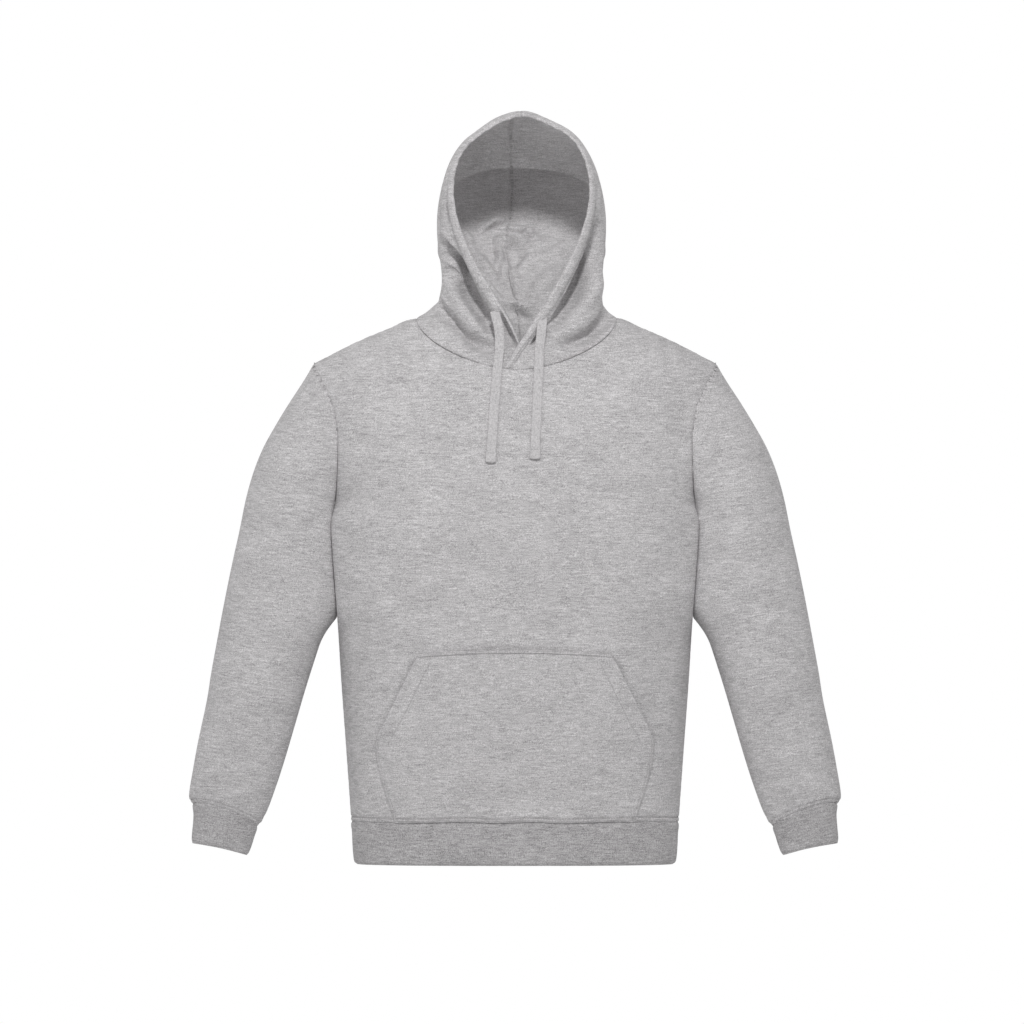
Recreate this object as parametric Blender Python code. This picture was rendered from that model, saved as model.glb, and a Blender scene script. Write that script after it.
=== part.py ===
"""Pullover hoodie, size L, filled out and hollow, as it hangs on a wearer's shoulders.

Metres, +Z up. The front faces -Y. The origin is the middle of the neck opening, level with the
high points of the shoulders. Each cut-and-sewn piece is one closed wall of knit cloth, and pieces
that are sewn together share the same run of points along their seam, a seam gap apart.
"""

import math

import bmesh
import bpy
from mathutils import Vector

MM = 0.001

# Cloth
WALL = 2.0 * MM
SEAM_GAP = 0.3 * MM
CASING_RISE = 1.2 * MM  # the folded casing at the hood's rim stands this much prouder
POCKET_LIFT = 0.8 * MM
POCKET_WALL = 1.8 * MM

# Body: heights are measured from the high points of the shoulders
HEM_SEAM_Z = -652 * MM
UNDERARM_Z = -262 * MM
SHOULDER_TIP_Z = -58 * MM
NECK_HALF_WIDTH = 131 * MM
NECK_SIDE_Z = 2 * MM
NECK_DROP_FRONT = 68 * MM
NECK_RISE_BACK = 8 * MM
NECK_SHIFT = 4 * MM  # the neck sits a little to the viewer's right of the body's middle
NECK_CURVE_FRONT = 1.65
NECK_CURVE_BACK = 2.0
SHOULDER_SLOPE = 0.32
SHOULDER_DROOP = 1.0  # per metre: how the slope steepens towards the shoulder tip
SHOULDER_ROUND_FRONT = 95 * MM
SHOULDER_ROUND_BACK = 110 * MM
ARMHOLE_HALF_DEPTH = 60 * MM
BODY_SQUARENESS = 2.3
LIFT_START = 10 * MM
LIFT_END = 190 * MM

# Meshing
NECK_STEPS = 6
SIDE_STEPS = 6
BODY_STEPS = 9
ARMHOLE_STEPS = 12
HOOD_LOWER_STEPS = 5
HOOD_UPPER_STEPS = 7
HOOD_ANGLE_STEP = 7.5
ACROSS_NUDGE = 2e-4  # steps along a panel that give its outward direction
ROW_NUDGE = 0.01

# Side edge of the body, in mm: height, half width
BODY_EDGE = [
    (-652, 212.5),
    (-560, 219.0),
    (-469, 225.6),
    (-365, 231.4),
    (-300, 236.0),
    (-262, 238.0),
    (-242, 234.0),
    (-218, 231.0),
    (-151, 229.5),
    (-133, 232.0),
    (-114, 235.5),
    (-99, 242.0),
    (-82, 249.6),
    (-66, 258.0),
    (-58, 261.0),
]

# How far the body stands out, in mm: height, to the front, to the back
BODY_DEPTH = [
    (-652, 88, 86),
    (-560, 98, 94),
    (-469, 104, 100),
    (-365, 108, 106),
    (-262, 110, 112),
    (-180, 106, 118),
    (-100, 92, 112),
    (-50, 80, 98),
    (10, 72, 76),
]

# Hem band, in mm: height, how far it has drawn in
HEM_ROWS = [
    (-652.3, 0.0),
    (-668.0, 0.8),
    (-685.0, 1.8),
    (-697.0, 3.0),
    (-704.5, 6.0),
    (-708.0, 11.0),
]

# Sleeve rings, in mm: ring, outer x, outer z, inner x, inner z, half depth, forward
SLEEVE_RINGS = [
    (0, 261.0, -58.0, 238.0, -262.0, 60.0, 0),
    (1, 277.0, -84.0, 239.4, -266.0, 61.5, 0),
    (2, 294.0, -110.0, 239.2, -271.5, 62.5, 0),
    (3, 311.0, -138.0, 238.8, -279.0, 63.5, 0),
    (4, 327.0, -167.0, 238.1, -289.0, 64.0, 0),
    (5, 339.5, -198.0, 237.3, -302.0, 64.0, 1),
    (6, 349.5, -233.0, 236.2, -319.0, 63.5, 2),
    (7, 358.0, -275.0, 235.0, -342.0, 62.5, 4),
    (8, 367.5, -318.0, 233.4, -372.0, 61.0, 6),
    (9, 378.0, -370.0, 249.0, -410.0, 58.0, 9),
    (10, 388.0, -424.0, 264.0, -455.0, 54.5, 12),
    (11, 394.5, -460.0, 274.5, -489.0, 51.5, 14),
    (12, 400.0, -495.0, 284.5, -523.5, 48.0, 15),
    (13, 411.0, -547.0, 299.5, -574.5, 43.0, 17),
    (14, 418.0, -585.0, 311.5, -611.0, 39.0, 18),
    (15, 422.8, -617.0, 322.5, -640.0, 34.0, 18.5),
    (16, 418.5, -629.5, 334.0, -659.0, 26.0, 19),
]

# Cuff rings, in mm: ring, outer x, outer z, inner x, inner z, half depth, forward
CUFF_RINGS = [
    (0, 418.5, -629.5, 334.0, -659.0, 26.0, 19),
    (1, 417.3, -642.0, 337.5, -669.0, 25.0, 19),
    (2, 418.2, -657.0, 341.2, -681.0, 24.5, 19),
    (3, 419.6, -673.0, 345.0, -691.5, 23.5, 19),
    (4, 418.6, -680.5, 348.0, -696.0, 21.5, 19),
]

# Hood, in mm, by the angle round the neck from the front: half width, widest y, widest z,
# crown y, crown z, squareness of the arch
HOOD_SECTIONS = [
    (-7.5, 90.0, -66, 165, -72, 262, 2.15),
    (-2.5, 101.0, -46, 150, -48, 268, 2.1),
    (45.0, 108.0, -22, 132, -18, 261, 2.1),
    (75.0, 110.0, 5, 120, 12, 240, 2.3),
    (90.0, 110.0, 22, 118, 30, 214, 2.5),
    (97.5, 110.0, 32, 117, 39, 199, 2.6),
    (105.0, 109.5, 42, 116, 48, 204, 2.5),
    (120.0, 107.0, 60, 115, 66, 213, 2.3),
    (135.0, 99.0, 80, 112, 88, 207, 2.2),
    (150.0, 83.0, 99, 108, 108, 187, 2.1),
    (165.0, 56.0, 115, 104, 122, 162, 2.0),
    (172.5, 33.0, 121, 102, 126.5, 150, 2.0),
    (180.0, 0.0, 125, 100, 128, 130, 2.0),
]

# How the hood leaves the neck seam, in mm, by the same angle: outwards, backwards, upwards, and
# how fast it reaches its widest point
HOOD_FLARE = [
    (-7.5, 92, 0, 190, 230),
    (0.0, 84, 0, 180, 220),
    (30.0, 20, 0, 150, 180),
    (60.0, -60, 0, 95, 140),
    (90.0, -125, 0, 60, 130),
    (120.0, -90, 10, 60, 130),
    (150.0, -30, 20, 70, 130),
    (180.0, 0, 25, 80, 130),
]
HOOD_SHIFT = 4.5 * MM  # the hood leans this much further to the viewer's right
SEAM_CLEAR_TURN = 0.05  # how far past square to the neck seam the hood's edge is turned
OVERLAP_UNDER = 3.8 * MM  # the under half lies this far behind the upper one where they cross
OVERLAP_ANGLE = (7.5, 30.0)
OVERLAP_HEIGHT = (0.30, 0.62)

# Pocket outline, in mm: height, half width
POCKET_ROWS = [
    (-651.7, 155.0),
    (-633.0, 161.0),
    (-614.0, 168.0),
    (-594.0, 173.5),
    (-575.0, 178.0),
    (-550.0, 181.0),
    (-513.0, 162.0),
    (-476.0, 143.0),
    (-438.0, 123.5),
]
POCKET_TOP_BOW = 6 * MM
POCKET_COLUMNS = 14

# Drawcords: a flat cord's width and thickness, its sewn end, and its route in mm
CORD_WIDTH = 12.4 * MM
CORD_THICK = 2.2 * MM
CORD_END_WIDTH = 13.6 * MM
CORD_END_THICK = 3.4 * MM
CORD_END_ROWS = 3

GREY_HEATHER = (0.42, 0.42, 0.43, 1.0)
CORD_GREY = (0.52, 0.52, 0.53, 1.0)


def smooth_value(rows, key, column):
    """The value of a table's column at a key in its first column, on a smooth curve."""
    last = len(rows) - 2
    index = 0
    while index < last and key > rows[index + 1][0]:
        index += 1
    low, high = rows[index], rows[index + 1]
    span = high[0] - low[0]
    step = (key - low[0]) / span

    def slope(at):
        before, after = rows[max(at - 1, 0)], rows[min(at + 1, len(rows) - 1)]
        return (after[column] - before[column]) / (after[0] - before[0])

    start, end = slope(index) * span, slope(index + 1) * span
    return hermite(low[column], high[column], start, end, step)


def hermite(start, end, start_slope, end_slope, step):
    """A cubic from start to end with the slopes given."""
    square = step * step
    cube = square * step
    return (
        (2 * cube - 3 * square + 1) * start
        + (cube - 2 * square + step) * start_slope
        + (3 * square - 2 * cube) * end
        + (cube - square) * end_slope
    )


def ease(low, high, value):
    """0 below low, 1 above high, and smooth between them."""
    step = min(max((value - low) / (high - low), 0.0), 1.0)
    return step * step * (3 - 2 * step)


def squircle(ratio, power):
    """How far out a rounded-square arch stands at a ratio of its half width."""
    return max(1 - abs(ratio) ** power, 0.0) ** (1 / power)


# Body


def edge_x(height):
    return smooth_value(BODY_EDGE, height / MM, 1) * MM


def body_depth(side, height):
    return smooth_value(BODY_DEPTH, height / MM, 1 if side < 0 else 2) * MM


def shoulder_z(x):
    """Height of the shoulder line, carried on level across the neck."""
    out = abs(x) - NECK_HALF_WIDTH
    return NECK_SIDE_Z - SHOULDER_SLOPE * out - (SHOULDER_DROOP * out * out if out > 0 else 0)


def shoulder_round(side, below):
    """Share of the full depth that the body has reached this far below the shoulder line."""
    radius = SHOULDER_ROUND_FRONT if side < 0 else SHOULDER_ROUND_BACK
    left = 1 - min(max(below, 0.0) / radius, 1.0)
    return math.sqrt(1 - left * left)


def neckline_z(side, x):
    share = abs(x) / NECK_HALF_WIDTH
    if side < 0:
        return NECK_SIDE_Z - NECK_DROP_FRONT * squircle(share, NECK_CURVE_FRONT)
    return NECK_SIDE_Z + NECK_RISE_BACK * squircle(share, NECK_CURVE_BACK)


def fan(steps):
    """Steps from 0 to 1 that close up towards 1."""
    return [math.sin(math.pi / 2 * step / steps) for step in range(steps + 1)]


def body_columns():
    """Places across a panel, -1 to 1, closer together at the neck's ends and at the sides."""
    neck = NECK_HALF_WIDTH / edge_x(SHOULDER_TIP_Z)
    half = [neck * place for place in fan(NECK_STEPS)]
    half += [neck + (1 - neck) * place for place in fan(SIDE_STEPS)[1:]]
    return [-place for place in reversed(half[1:])] + half


def body_row(step):
    """Height of a row at the panel's edge, with the angle round the armhole for an upper one."""
    if step <= BODY_STEPS:
        return HEM_SEAM_Z + (UNDERARM_Z - HEM_SEAM_Z) * step / BODY_STEPS, None
    middle = (UNDERARM_Z + SHOULDER_TIP_Z) / 2
    reach = (SHOULDER_TIP_Z - UNDERARM_Z) / 2
    angle = math.pi * (step - BODY_STEPS) / ARMHOLE_STEPS
    return middle - reach * math.cos(angle), angle


def side_share(side, height, angle):
    """How much of the body's full arch a row spans: all of it below the armhole."""
    if angle is None:
        return 1.0
    angle = min(angle, math.pi - 0.02)
    middle = (UNDERARM_Z + SHOULDER_TIP_Z) / 2
    height = middle - (SHOULDER_TIP_Z - UNDERARM_Z) / 2 * math.cos(angle)
    full = body_depth(side, height) * shoulder_round(side, shoulder_z(edge_x(height)) - height)
    return squircle(ARMHOLE_HALF_DEPTH * math.sin(angle) / full, BODY_SQUARENESS)


def body_point(side, across, height, angle):
    """A point of the outer face; side is -1 in front and 1 behind."""
    tip_x = edge_x(SHOULDER_TIP_Z)
    weight = 1 - ease(LIFT_START, LIFT_END, SHOULDER_TIP_Z - height)
    x = across * edge_x(height)
    top_x = across * tip_x
    on_neck = abs(top_x) < NECK_HALF_WIDTH - 1e-9
    top = neckline_z(side, top_x) if on_neck else shoulder_z(top_x)
    z = height + weight * (top - shoulder_z(tip_x))
    below = shoulder_z(x) - z
    if height > SHOULDER_TIP_Z - 1e-9 and not on_neck:
        below = 0.0
    depth = body_depth(side, z) * shoulder_round(side, below)
    depth *= squircle(across * side_share(side, height, angle), BODY_SQUARENESS)
    shift = NECK_SHIFT * weight * (1 - across * across) ** 2
    return Vector((x + shift, side * (depth + SEAM_GAP / 2), z))


def panel_grid(side):
    rows = range(BODY_STEPS + ARMHOLE_STEPS + 1)
    return [
        [body_point(side, across, *body_row(step)) for step in rows] for across in body_columns()
    ]


def panel_normal(side, across, step):
    """The outward direction of a panel, from two short steps along it."""
    nudge = ACROSS_NUDGE if 0 <= across < 1 or across == -1 else -ACROSS_NUDGE
    lower = max(step - ROW_NUDGE, 0)
    upper = min(step + ROW_NUDGE, BODY_STEPS + ARMHOLE_STEPS)
    here = body_point(side, across, *body_row(step))
    along_row = (body_point(side, across + nudge, *body_row(step)) - here) / nudge
    upwards = body_point(side, across, *body_row(upper)) - body_point(side, across, *body_row(lower))
    return (upwards / (upper - lower)).cross(along_row).normalized() * side


def panel_normals(side):
    """Outward directions; along the side and shoulder seams they lie in the seam's own plane."""
    columns = body_columns()
    last = len(columns) - 1
    top = BODY_STEPS + ARMHOLE_STEPS
    normals = []
    for i, across in enumerate(columns):
        line = [panel_normal(side, across, step) for step in range(top + 1)]
        if i in (0, last):
            line[: BODY_STEPS + 1] = [Vector((across, 0, 0))] * (BODY_STEPS + 1)
        if i <= SIDE_STEPS or i >= last - SIDE_STEPS:
            line[top] = Vector((line[top].x, 0, line[top].z)).normalized()
        normals.append(line)
    return normals


# Walls


def grid_normals(points, towards, closed=False):
    """Unit directions square to a grid of points, pointing to the side given."""
    columns, rows = len(points), len(points[0])
    normals = []
    for i in range(columns):
        if closed:
            turn = columns - 1
            before, after = points[(i - 1) % turn], points[(i + 1) % turn]
        else:
            before, after = points[max(i - 1, 0)], points[min(i + 1, columns - 1)]
        line = []
        for j in range(rows):
            along = points[i][min(j + 1, rows - 1)] - points[i][max(j - 1, 0)]
            line.append((after[j] - before[j]).cross(along).normalized())
        normals.append(line)
    middle = normals[columns // 2][rows // 2]
    if middle.dot(towards) < 0:
        normals = [[-normal for normal in line] for line in normals]
    return normals


def offset(points, normals, distance):
    """The same grid moved along its normals; distance is one number or a function of i, j."""
    reach = distance if callable(distance) else (lambda i, j: distance)
    return [
        [point + normals[i][j] * reach(i, j) for j, point in enumerate(line)]
        for i, line in enumerate(points)
    ]


def cloth_wall(name, outer, inner, colour, closed=False):
    """One closed body: an outer grid, an inner grid, and a rim that joins their edges."""
    columns, rows = len(outer) - 1, len(outer[0]) - 1
    shell = bmesh.new()
    layers = []
    for points in (outer, inner):
        made = bmesh.ops.create_grid(shell, x_segments=columns, y_segments=rows, size=0.5)
        layer = {}
        for vertex in made["verts"]:
            place = round((vertex.co.x + 0.5) * columns), round((vertex.co.y + 0.5) * rows)
            layer[place] = vertex
        for (i, j), vertex in layer.items():
            vertex.co = points[i][j]
        layers.append(layer)
    ends = [[(i, 0) for i in range(columns + 1)], [(i, rows) for i in range(columns + 1)]]
    if not closed:
        ends += [[(0, j) for j in range(rows + 1)], [(columns, j) for j in range(rows + 1)]]
    for end in ends:
        for here, there in zip(end, end[1:]):
            shell.faces.new((layers[0][here], layers[0][there], layers[1][there], layers[1][here]))
    bmesh.ops.remove_doubles(shell, verts=shell.verts, dist=1e-6)
    bmesh.ops.triangulate(shell, faces=shell.faces, quad_method="SHORT_EDGE")
    bmesh.ops.recalc_face_normals(shell, faces=shell.faces)
    mesh = bpy.data.meshes.new(name)
    shell.to_mesh(mesh)
    shell.free()
    mesh.shade_smooth()
    mesh.set_sharp_from_angle(angle=math.radians(50))
    piece = bpy.data.objects.new(name, mesh)
    piece.data.materials.append(cloth_material(name, colour))
    COLLECTION.objects.link(piece)
    return piece


def cloth_material(name, colour):
    material = bpy.data.materials.new(name + "_knit")
    material.use_nodes = True
    shader = material.node_tree.nodes["Principled BSDF"]
    shader.inputs["Base Color"].default_value = colour
    shader.inputs["Roughness"].default_value = 0.95
    shader.inputs["Metallic"].default_value = 0.0
    return material


def build_panel(name, side):
    points = panel_grid(side)
    normals = panel_normals(side)
    cloth_wall(name, points, offset(points, normals, -WALL), GREY_HEATHER)
    return points, normals


# Sleeves and cuffs


def ring_point(rings, ring, turn, sign):
    """A point of a tube's ring; turn runs from the underarm round the front."""
    outer_x, outer_z, inner_x, inner_z, half_depth, forward = (
        smooth_value(rings, ring, column) * MM for column in range(1, 7)
    )
    along = -math.cos(turn) / 2
    x = (outer_x + inner_x) / 2 + (outer_x - inner_x) * along
    z = (outer_z + inner_z) / 2 + (outer_z - inner_z) * along
    return Vector((sign * x, -half_depth * math.sin(turn) - forward, z))


def build_sleeve(name, sign, front, front_normals, back, back_normals):
    """A set-in sleeve whose first ring follows the armhole edges of both panels."""
    edge = len(front) - 1 if sign > 0 else 0
    rows = range(BODY_STEPS, BODY_STEPS + ARMHOLE_STEPS + 1)
    seam = [(front[edge][j], front_normals[edge][j]) for j in rows]
    seam += [(back[edge][j], back_normals[edge][j]) for j in reversed(rows)][1:]
    count = 2 * ARMHOLE_STEPS
    points = []
    for i in range(count + 1):
        turn = 2 * math.pi * i / count
        base = Vector((seam[i][0].x, seam[i][0].y, seam[i][0].z))
        if i in (0, ARMHOLE_STEPS, count):
            base.y = 0
        spread = base - ring_point(SLEEVE_RINGS, 0, turn, sign)
        line = []
        for ring in range(len(SLEEVE_RINGS)):
            fade = 1 - ease(0, 5, ring)
            line.append(ring_point(SLEEVE_RINGS, ring, turn, sign) + spread * fade)
        points.append(line)
    for i in range(count + 1):
        ahead, behind = points[(i + 1) % count][0], points[(i - 1) % count][0]
        across = seam[i][1].cross(ahead - behind).normalized() * -sign
        points[i][0] = points[i][0] + across * SEAM_GAP
    normals = grid_normals(points, Vector((sign, 0, 0)), closed=True)
    for i in range(count + 1):
        share = ease(0.15, 0.5, (1 - math.cos(2 * math.pi * i / count)) / 2)
        normals[i][0] = normals[i][0].lerp(seam[i][1], share).normalized()
    cloth_wall(name, points, offset(points, normals, -WALL), GREY_HEATHER, closed=True)


def build_cuff(name, sign):
    count = 2 * ARMHOLE_STEPS
    _, outer_x, outer_z, inner_x, inner_z, _, _ = SLEEVE_RINGS[-1]
    down = Vector((sign * (inner_z - outer_z), 0, outer_x - inner_x)).normalized() * -SEAM_GAP
    points = []
    for i in range(count + 1):
        turn = 2 * math.pi * i / count
        rings = range(len(CUFF_RINGS))
        points.append([ring_point(CUFF_RINGS, ring, turn, sign) + down for ring in rings])
    normals = grid_normals(points, Vector((sign, 0, 0)), closed=True)
    cloth_wall(name, points, offset(points, normals, -WALL), GREY_HEATHER, closed=True)


def build_hem_band(name):
    columns = body_columns()
    loop = [(-1, across) for across in columns] + [(1, across) for across in columns[-2::-1]]
    points = []
    for side, across in loop:
        line = []
        for height, inset in HEM_ROWS:
            half = edge_x(HEM_SEAM_Z) - inset * MM
            depth = body_depth(side, HEM_SEAM_Z) - inset * MM
            y = side * depth * squircle(across, BODY_SQUARENESS)
            line.append(Vector((across * half, y, height * MM)))
        points.append(line)
    normals = grid_normals(points, Vector((1, 0, 0)), closed=True)
    cloth_wall(name, points, offset(points, normals, -WALL), GREY_HEATHER, closed=True)


# Pocket


def build_pocket(name):
    """The kangaroo pocket, made from the front panel's own surface moved out."""
    points = []
    for i in range(POCKET_COLUMNS + 1):
        across = 2 * i / POCKET_COLUMNS - 1
        line = []
        for height, half in POCKET_ROWS:
            z = height * MM
            if height == POCKET_ROWS[-1][0]:
                z += POCKET_TOP_BOW * (1 - across * across)
            x = across * half * MM
            line.append(body_point(-1, x / edge_x(z), z, None))
        points.append(line)
    normals = grid_normals(points, Vector((0, -1, 0)))
    low = offset(points, normals, POCKET_LIFT)
    cloth_wall(name, offset(low, normals, POCKET_WALL), low, GREY_HEATHER)


# Hood


def neck_seam(front, front_normals, back, back_normals, sign):
    """From past the middle front round to the middle back: angle, seam point, way off the panel."""
    middle = len(front) // 2
    top = len(front[0]) - 1
    stations = []
    for step in range(-1, NECK_STEPS + 1):
        column = middle + sign * step
        stations.append((90 * step / NECK_STEPS, front[column][top], front_normals[column][top]))
    for step in range(NECK_STEPS - 1, -1, -1):
        column = middle + sign * step
        angle = 180 - 90 * step / NECK_STEPS
        stations.append((angle, back[column][top], back_normals[column][top]))
    seam = []
    for k, (angle, point, normal) in enumerate(stations):
        ahead = stations[min(k + 1, len(stations) - 1)][1]
        behind = stations[max(k - 1, 0)][1]
        across = normal.cross(ahead - behind).normalized() * sign
        place = point + across * SEAM_GAP
        if angle == 90:
            place.y = 0
        seam.append((angle, place, across))
    return seam


def seam_place(seam, angle):
    """A point on the straight runs between the seam's stations, and the way off the panel there."""
    for (low, start, start_off), (high, end, end_off) in zip(seam, seam[1:]):
        if angle <= high + 1e-9:
            share = (angle - low) / (high - low)
            return start.lerp(end, share), start_off.lerp(end_off, share).normalized()
    return seam[-1][1:]


def turned_clear(normal, off_panel):
    """The same direction, turned where it must be so that a wall's inner edge clears the panel."""
    excess = max(normal.dot(off_panel) + SEAM_CLEAR_TURN, 0.0)
    return (normal - off_panel * excess).normalized()


def hood_angles():
    angles = [-7.5, -5.0, -2.5]
    count = round(180 / HOOD_ANGLE_STEP)
    return angles + [HOOD_ANGLE_STEP * step for step in range(count + 1)]


def hood_point(seam, angle, climb, sign):
    """A point of the hood's outer face; climb is 0 at the neck, 1 at the widest, 2 at the crown."""
    width, wide_y, wide_z, crown_y, crown_z = (
        smooth_value(HOOD_SECTIONS, angle, column) * MM for column in range(1, 6)
    )
    power = smooth_value(HOOD_SECTIONS, angle, 6)
    out, back, up, arrive = (
        smooth_value(HOOD_FLARE, angle, column) * MM for column in range(1, 5)
    )
    width = max(width, 0.0)
    base, _ = seam_place(seam, angle)
    lean = NECK_SHIFT + HOOD_SHIFT * ease(0, 0.5, climb)
    if climb <= 1:
        side = hermite(sign * (base.x - NECK_SHIFT), width, out, 0, climb)
        y = hermite(base.y, wide_y, back, 0, climb)
        z = hermite(base.z, wide_z, up, arrive, climb)
    else:
        turn = math.pi / 2 * (climb - 1)
        side = width * math.cos(turn) ** (2 / power)
        y = wide_y + (crown_y - wide_y) * math.sin(turn) ** 2
        z = wide_z + (crown_z - wide_z) * math.sin(turn) ** (2 / power)
    return Vector((sign * (side + SEAM_GAP / 2) + lean, y, z))


def build_hood_half(name, sign, seam, under):
    angles = hood_angles()
    climbs = [step / HOOD_LOWER_STEPS for step in range(HOOD_LOWER_STEPS)]
    climbs += [1 + step / HOOD_UPPER_STEPS for step in range(HOOD_UPPER_STEPS + 1)]
    points = [[hood_point(seam, angle, climb, sign) for climb in climbs] for angle in angles]
    for i, angle in enumerate(angles):
        points[i][0] = seam_place(seam, angle)[0].copy()
    points[-1][0].x += sign * SEAM_GAP / 2
    normals = grid_normals(points, Vector((sign, 0, 0)))
    for i, angle in enumerate(angles):
        normals[i][0] = turned_clear(normals[i][0], seam_place(seam, angle)[1])
    top, last = len(climbs) - 1, len(angles) - 1
    centre = [(i, top) for i in range(last + 1)] + [(last, j) for j in range(top - 1, -1, -1)]
    for k, (i, j) in enumerate(centre[:-1]):
        ahead, behind = centre[k + 1], centre[max(k - 1, 0)]
        run = points[ahead[0]][ahead[1]] - points[behind[0]][behind[1]]
        normals[i][j] = Vector((0, -run.z, run.y)).normalized()
    foot = normals[last][0]
    normals[last][0] = Vector((0, foot.y, foot.z)).normalized()
    if under:
        for i, angle in enumerate(angles):
            for j, climb in enumerate(climbs):
                tuck = (1 - ease(*OVERLAP_ANGLE, angle)) * (1 - ease(*OVERLAP_HEIGHT, climb))
                points[i][j] = points[i][j] - normals[i][j] * OVERLAP_UNDER * tuck
    casing = offset(points, normals, lambda i, j: CASING_RISE if i < 3 and j > 0 else 0.0)
    cloth_wall(name, casing, offset(points, normals, -WALL), GREY_HEATHER)


# Drawcords


def build_cord(name, route):
    """A flat cord down a route of points, with its end folded back and sewn."""
    points = [Vector(place) * MM for place in route]
    across = Vector((1, 0, 0))
    outer, inner = [[], []], [[], []]
    for k, place in enumerate(points):
        along = (points[min(k + 1, len(points) - 1)] - points[max(k - 1, 0)]).normalized()
        face = across.cross(along).normalized()
        if face.y > 0:
            face = -face
        side = along.cross(face).normalized()
        if side.x < 0:
            side = -side
        at_end = k >= len(points) - CORD_END_ROWS
        width = CORD_END_WIDTH if at_end else CORD_WIDTH
        thick = CORD_END_THICK if at_end else CORD_THICK
        for edge, sign in ((0, -1), (1, 1)):
            outer[edge].append(place + side * sign * width / 2 + face * thick / 2)
            inner[edge].append(place + side * sign * width / 2 - face * thick / 2)
    cloth_wall(name, outer, inner, CORD_GREY)


# Centreline of each drawcord, in mm, from under the casing down to its sewn end
CORD_LEFT = [
    (-21.0, -79.5, -5.0),
    (-20.0, -80.3, -24.0),
    (-20.0, -81.8, -40.0),
    (-21.5, -83.6, -55.0),
    (-23.0, -86.2, -69.0),
    (-24.5, -91.4, -90.0),
    (-26.5, -96.1, -112.0),
    (-28.0, -100.5, -134.0),
    (-29.5, -104.9, -157.0),
    (-30.0, -106.2, -162.0),
    (-31.0, -108.6, -179.0),
]
CORD_RIGHT = [
    (35.5, -80.9, -7.0),
    (33.5, -81.7, -24.0),
    (31.5, -83.2, -40.0),
    (31.0, -84.6, -55.0),
    (30.5, -86.4, -69.0),
    (29.5, -91.4, -90.0),
    (28.5, -96.1, -112.0),
    (27.5, -100.5, -134.0),
    (26.5, -104.9, -157.0),
    (26.3, -106.2, -162.0),
    (26.0, -108.6, -179.0),
]


for old in list(bpy.data.objects):
    bpy.data.objects.remove(old, do_unlink=True)
COLLECTION = bpy.data.collections.new("pullover_hoodie")
bpy.context.scene.collection.children.link(COLLECTION)

front_points, front_directions = build_panel("front_panel", -1)
back_points, back_directions = build_panel("back_panel", 1)
panels = (front_points, front_directions, back_points, back_directions)
for label, hand in (("left", -1), ("right", 1)):
    build_sleeve("sleeve_" + label, hand, *panels)
    build_cuff("cuff_" + label, hand)
    build_hood_half("hood_" + label, hand, neck_seam(*panels, hand), under=hand < 0)
build_hem_band("hem_band")
build_pocket("pocket")
build_cord("drawcord_left", CORD_LEFT)
build_cord("drawcord_right", CORD_RIGHT)
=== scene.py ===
# Pullover hoodie in grey heather sweatshirt knit, filled out and hollow: the knit, its folds, the
# sewing and the drawcords. Lengths in the tables are in mm, +Z up, the front faces -Y.
import math

import bmesh
import bpy
import numpy as np
from mathutils import Matrix, Vector


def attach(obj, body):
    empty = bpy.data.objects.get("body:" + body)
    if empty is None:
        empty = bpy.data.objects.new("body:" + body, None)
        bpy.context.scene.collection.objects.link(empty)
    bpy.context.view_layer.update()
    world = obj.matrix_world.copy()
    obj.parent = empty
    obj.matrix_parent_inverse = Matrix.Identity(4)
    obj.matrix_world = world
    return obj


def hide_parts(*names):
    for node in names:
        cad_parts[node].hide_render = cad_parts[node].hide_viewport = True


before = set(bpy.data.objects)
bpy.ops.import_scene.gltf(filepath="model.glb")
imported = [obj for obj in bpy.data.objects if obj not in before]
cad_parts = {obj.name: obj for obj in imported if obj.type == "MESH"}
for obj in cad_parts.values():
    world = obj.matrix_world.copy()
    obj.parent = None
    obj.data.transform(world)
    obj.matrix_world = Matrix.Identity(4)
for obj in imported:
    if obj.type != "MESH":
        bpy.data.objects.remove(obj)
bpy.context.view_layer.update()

mm = 0.001
scene = bpy.context.scene


def newObject(name, data):
    made = bpy.data.objects.new(name, data)
    scene.collection.objects.link(made)
    return made


# Camera: a long lens, level with the middle of the garment
view = {"across": -3.9, "height": -250.9, "distance": 12000, "width": 1331.2, "sensor": 36, "farthest": 100}


def addCamera():
    lens = bpy.data.cameras.new("camera")
    lens.sensor_width = view["sensor"]
    lens.lens = view["sensor"] * view["distance"] / view["width"]
    lens.clip_end = view["farthest"]
    camera = newObject("camera", lens)
    camera.location = (view["across"] * mm, -view["distance"] * mm, view["height"] * mm)
    camera.rotation_euler = (math.radians(90), 0, 0)
    scene.camera = camera


addCamera()


# Numbers and curves

def hermite(start, end, startSlope, endSlope, step):
    square, cube = step * step, step * step * step
    return ((2 * cube - 3 * square + 1) * start + (cube - 2 * square + step) * startSlope
            + (3 * square - 2 * cube) * end + (cube - square) * endSlope)


def through(rows, keys, column):  # a smooth curve through one column of a table
    table = np.array(rows, float)
    at, value = table[:, 0], table[:, column]
    slope = np.empty_like(value)
    slope[1:-1] = (value[2:] - value[:-2]) / (at[2:] - at[:-2])
    slope[0] = (value[1] - value[0]) / (at[1] - at[0])
    slope[-1] = (value[-1] - value[-2]) / (at[-1] - at[-2])
    keys = np.asarray(keys, float)
    k = np.clip(np.searchsorted(at, keys) - 1, 0, len(at) - 2)
    span = at[k + 1] - at[k]
    return hermite(value[k], value[k + 1], slope[k] * span, slope[k + 1] * span, (keys - at[k]) / span)


def throughAll(rows, keys):  # the same through every column of the table
    return [through(rows, keys, column) for column in range(1, len(rows[0]))]


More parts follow.
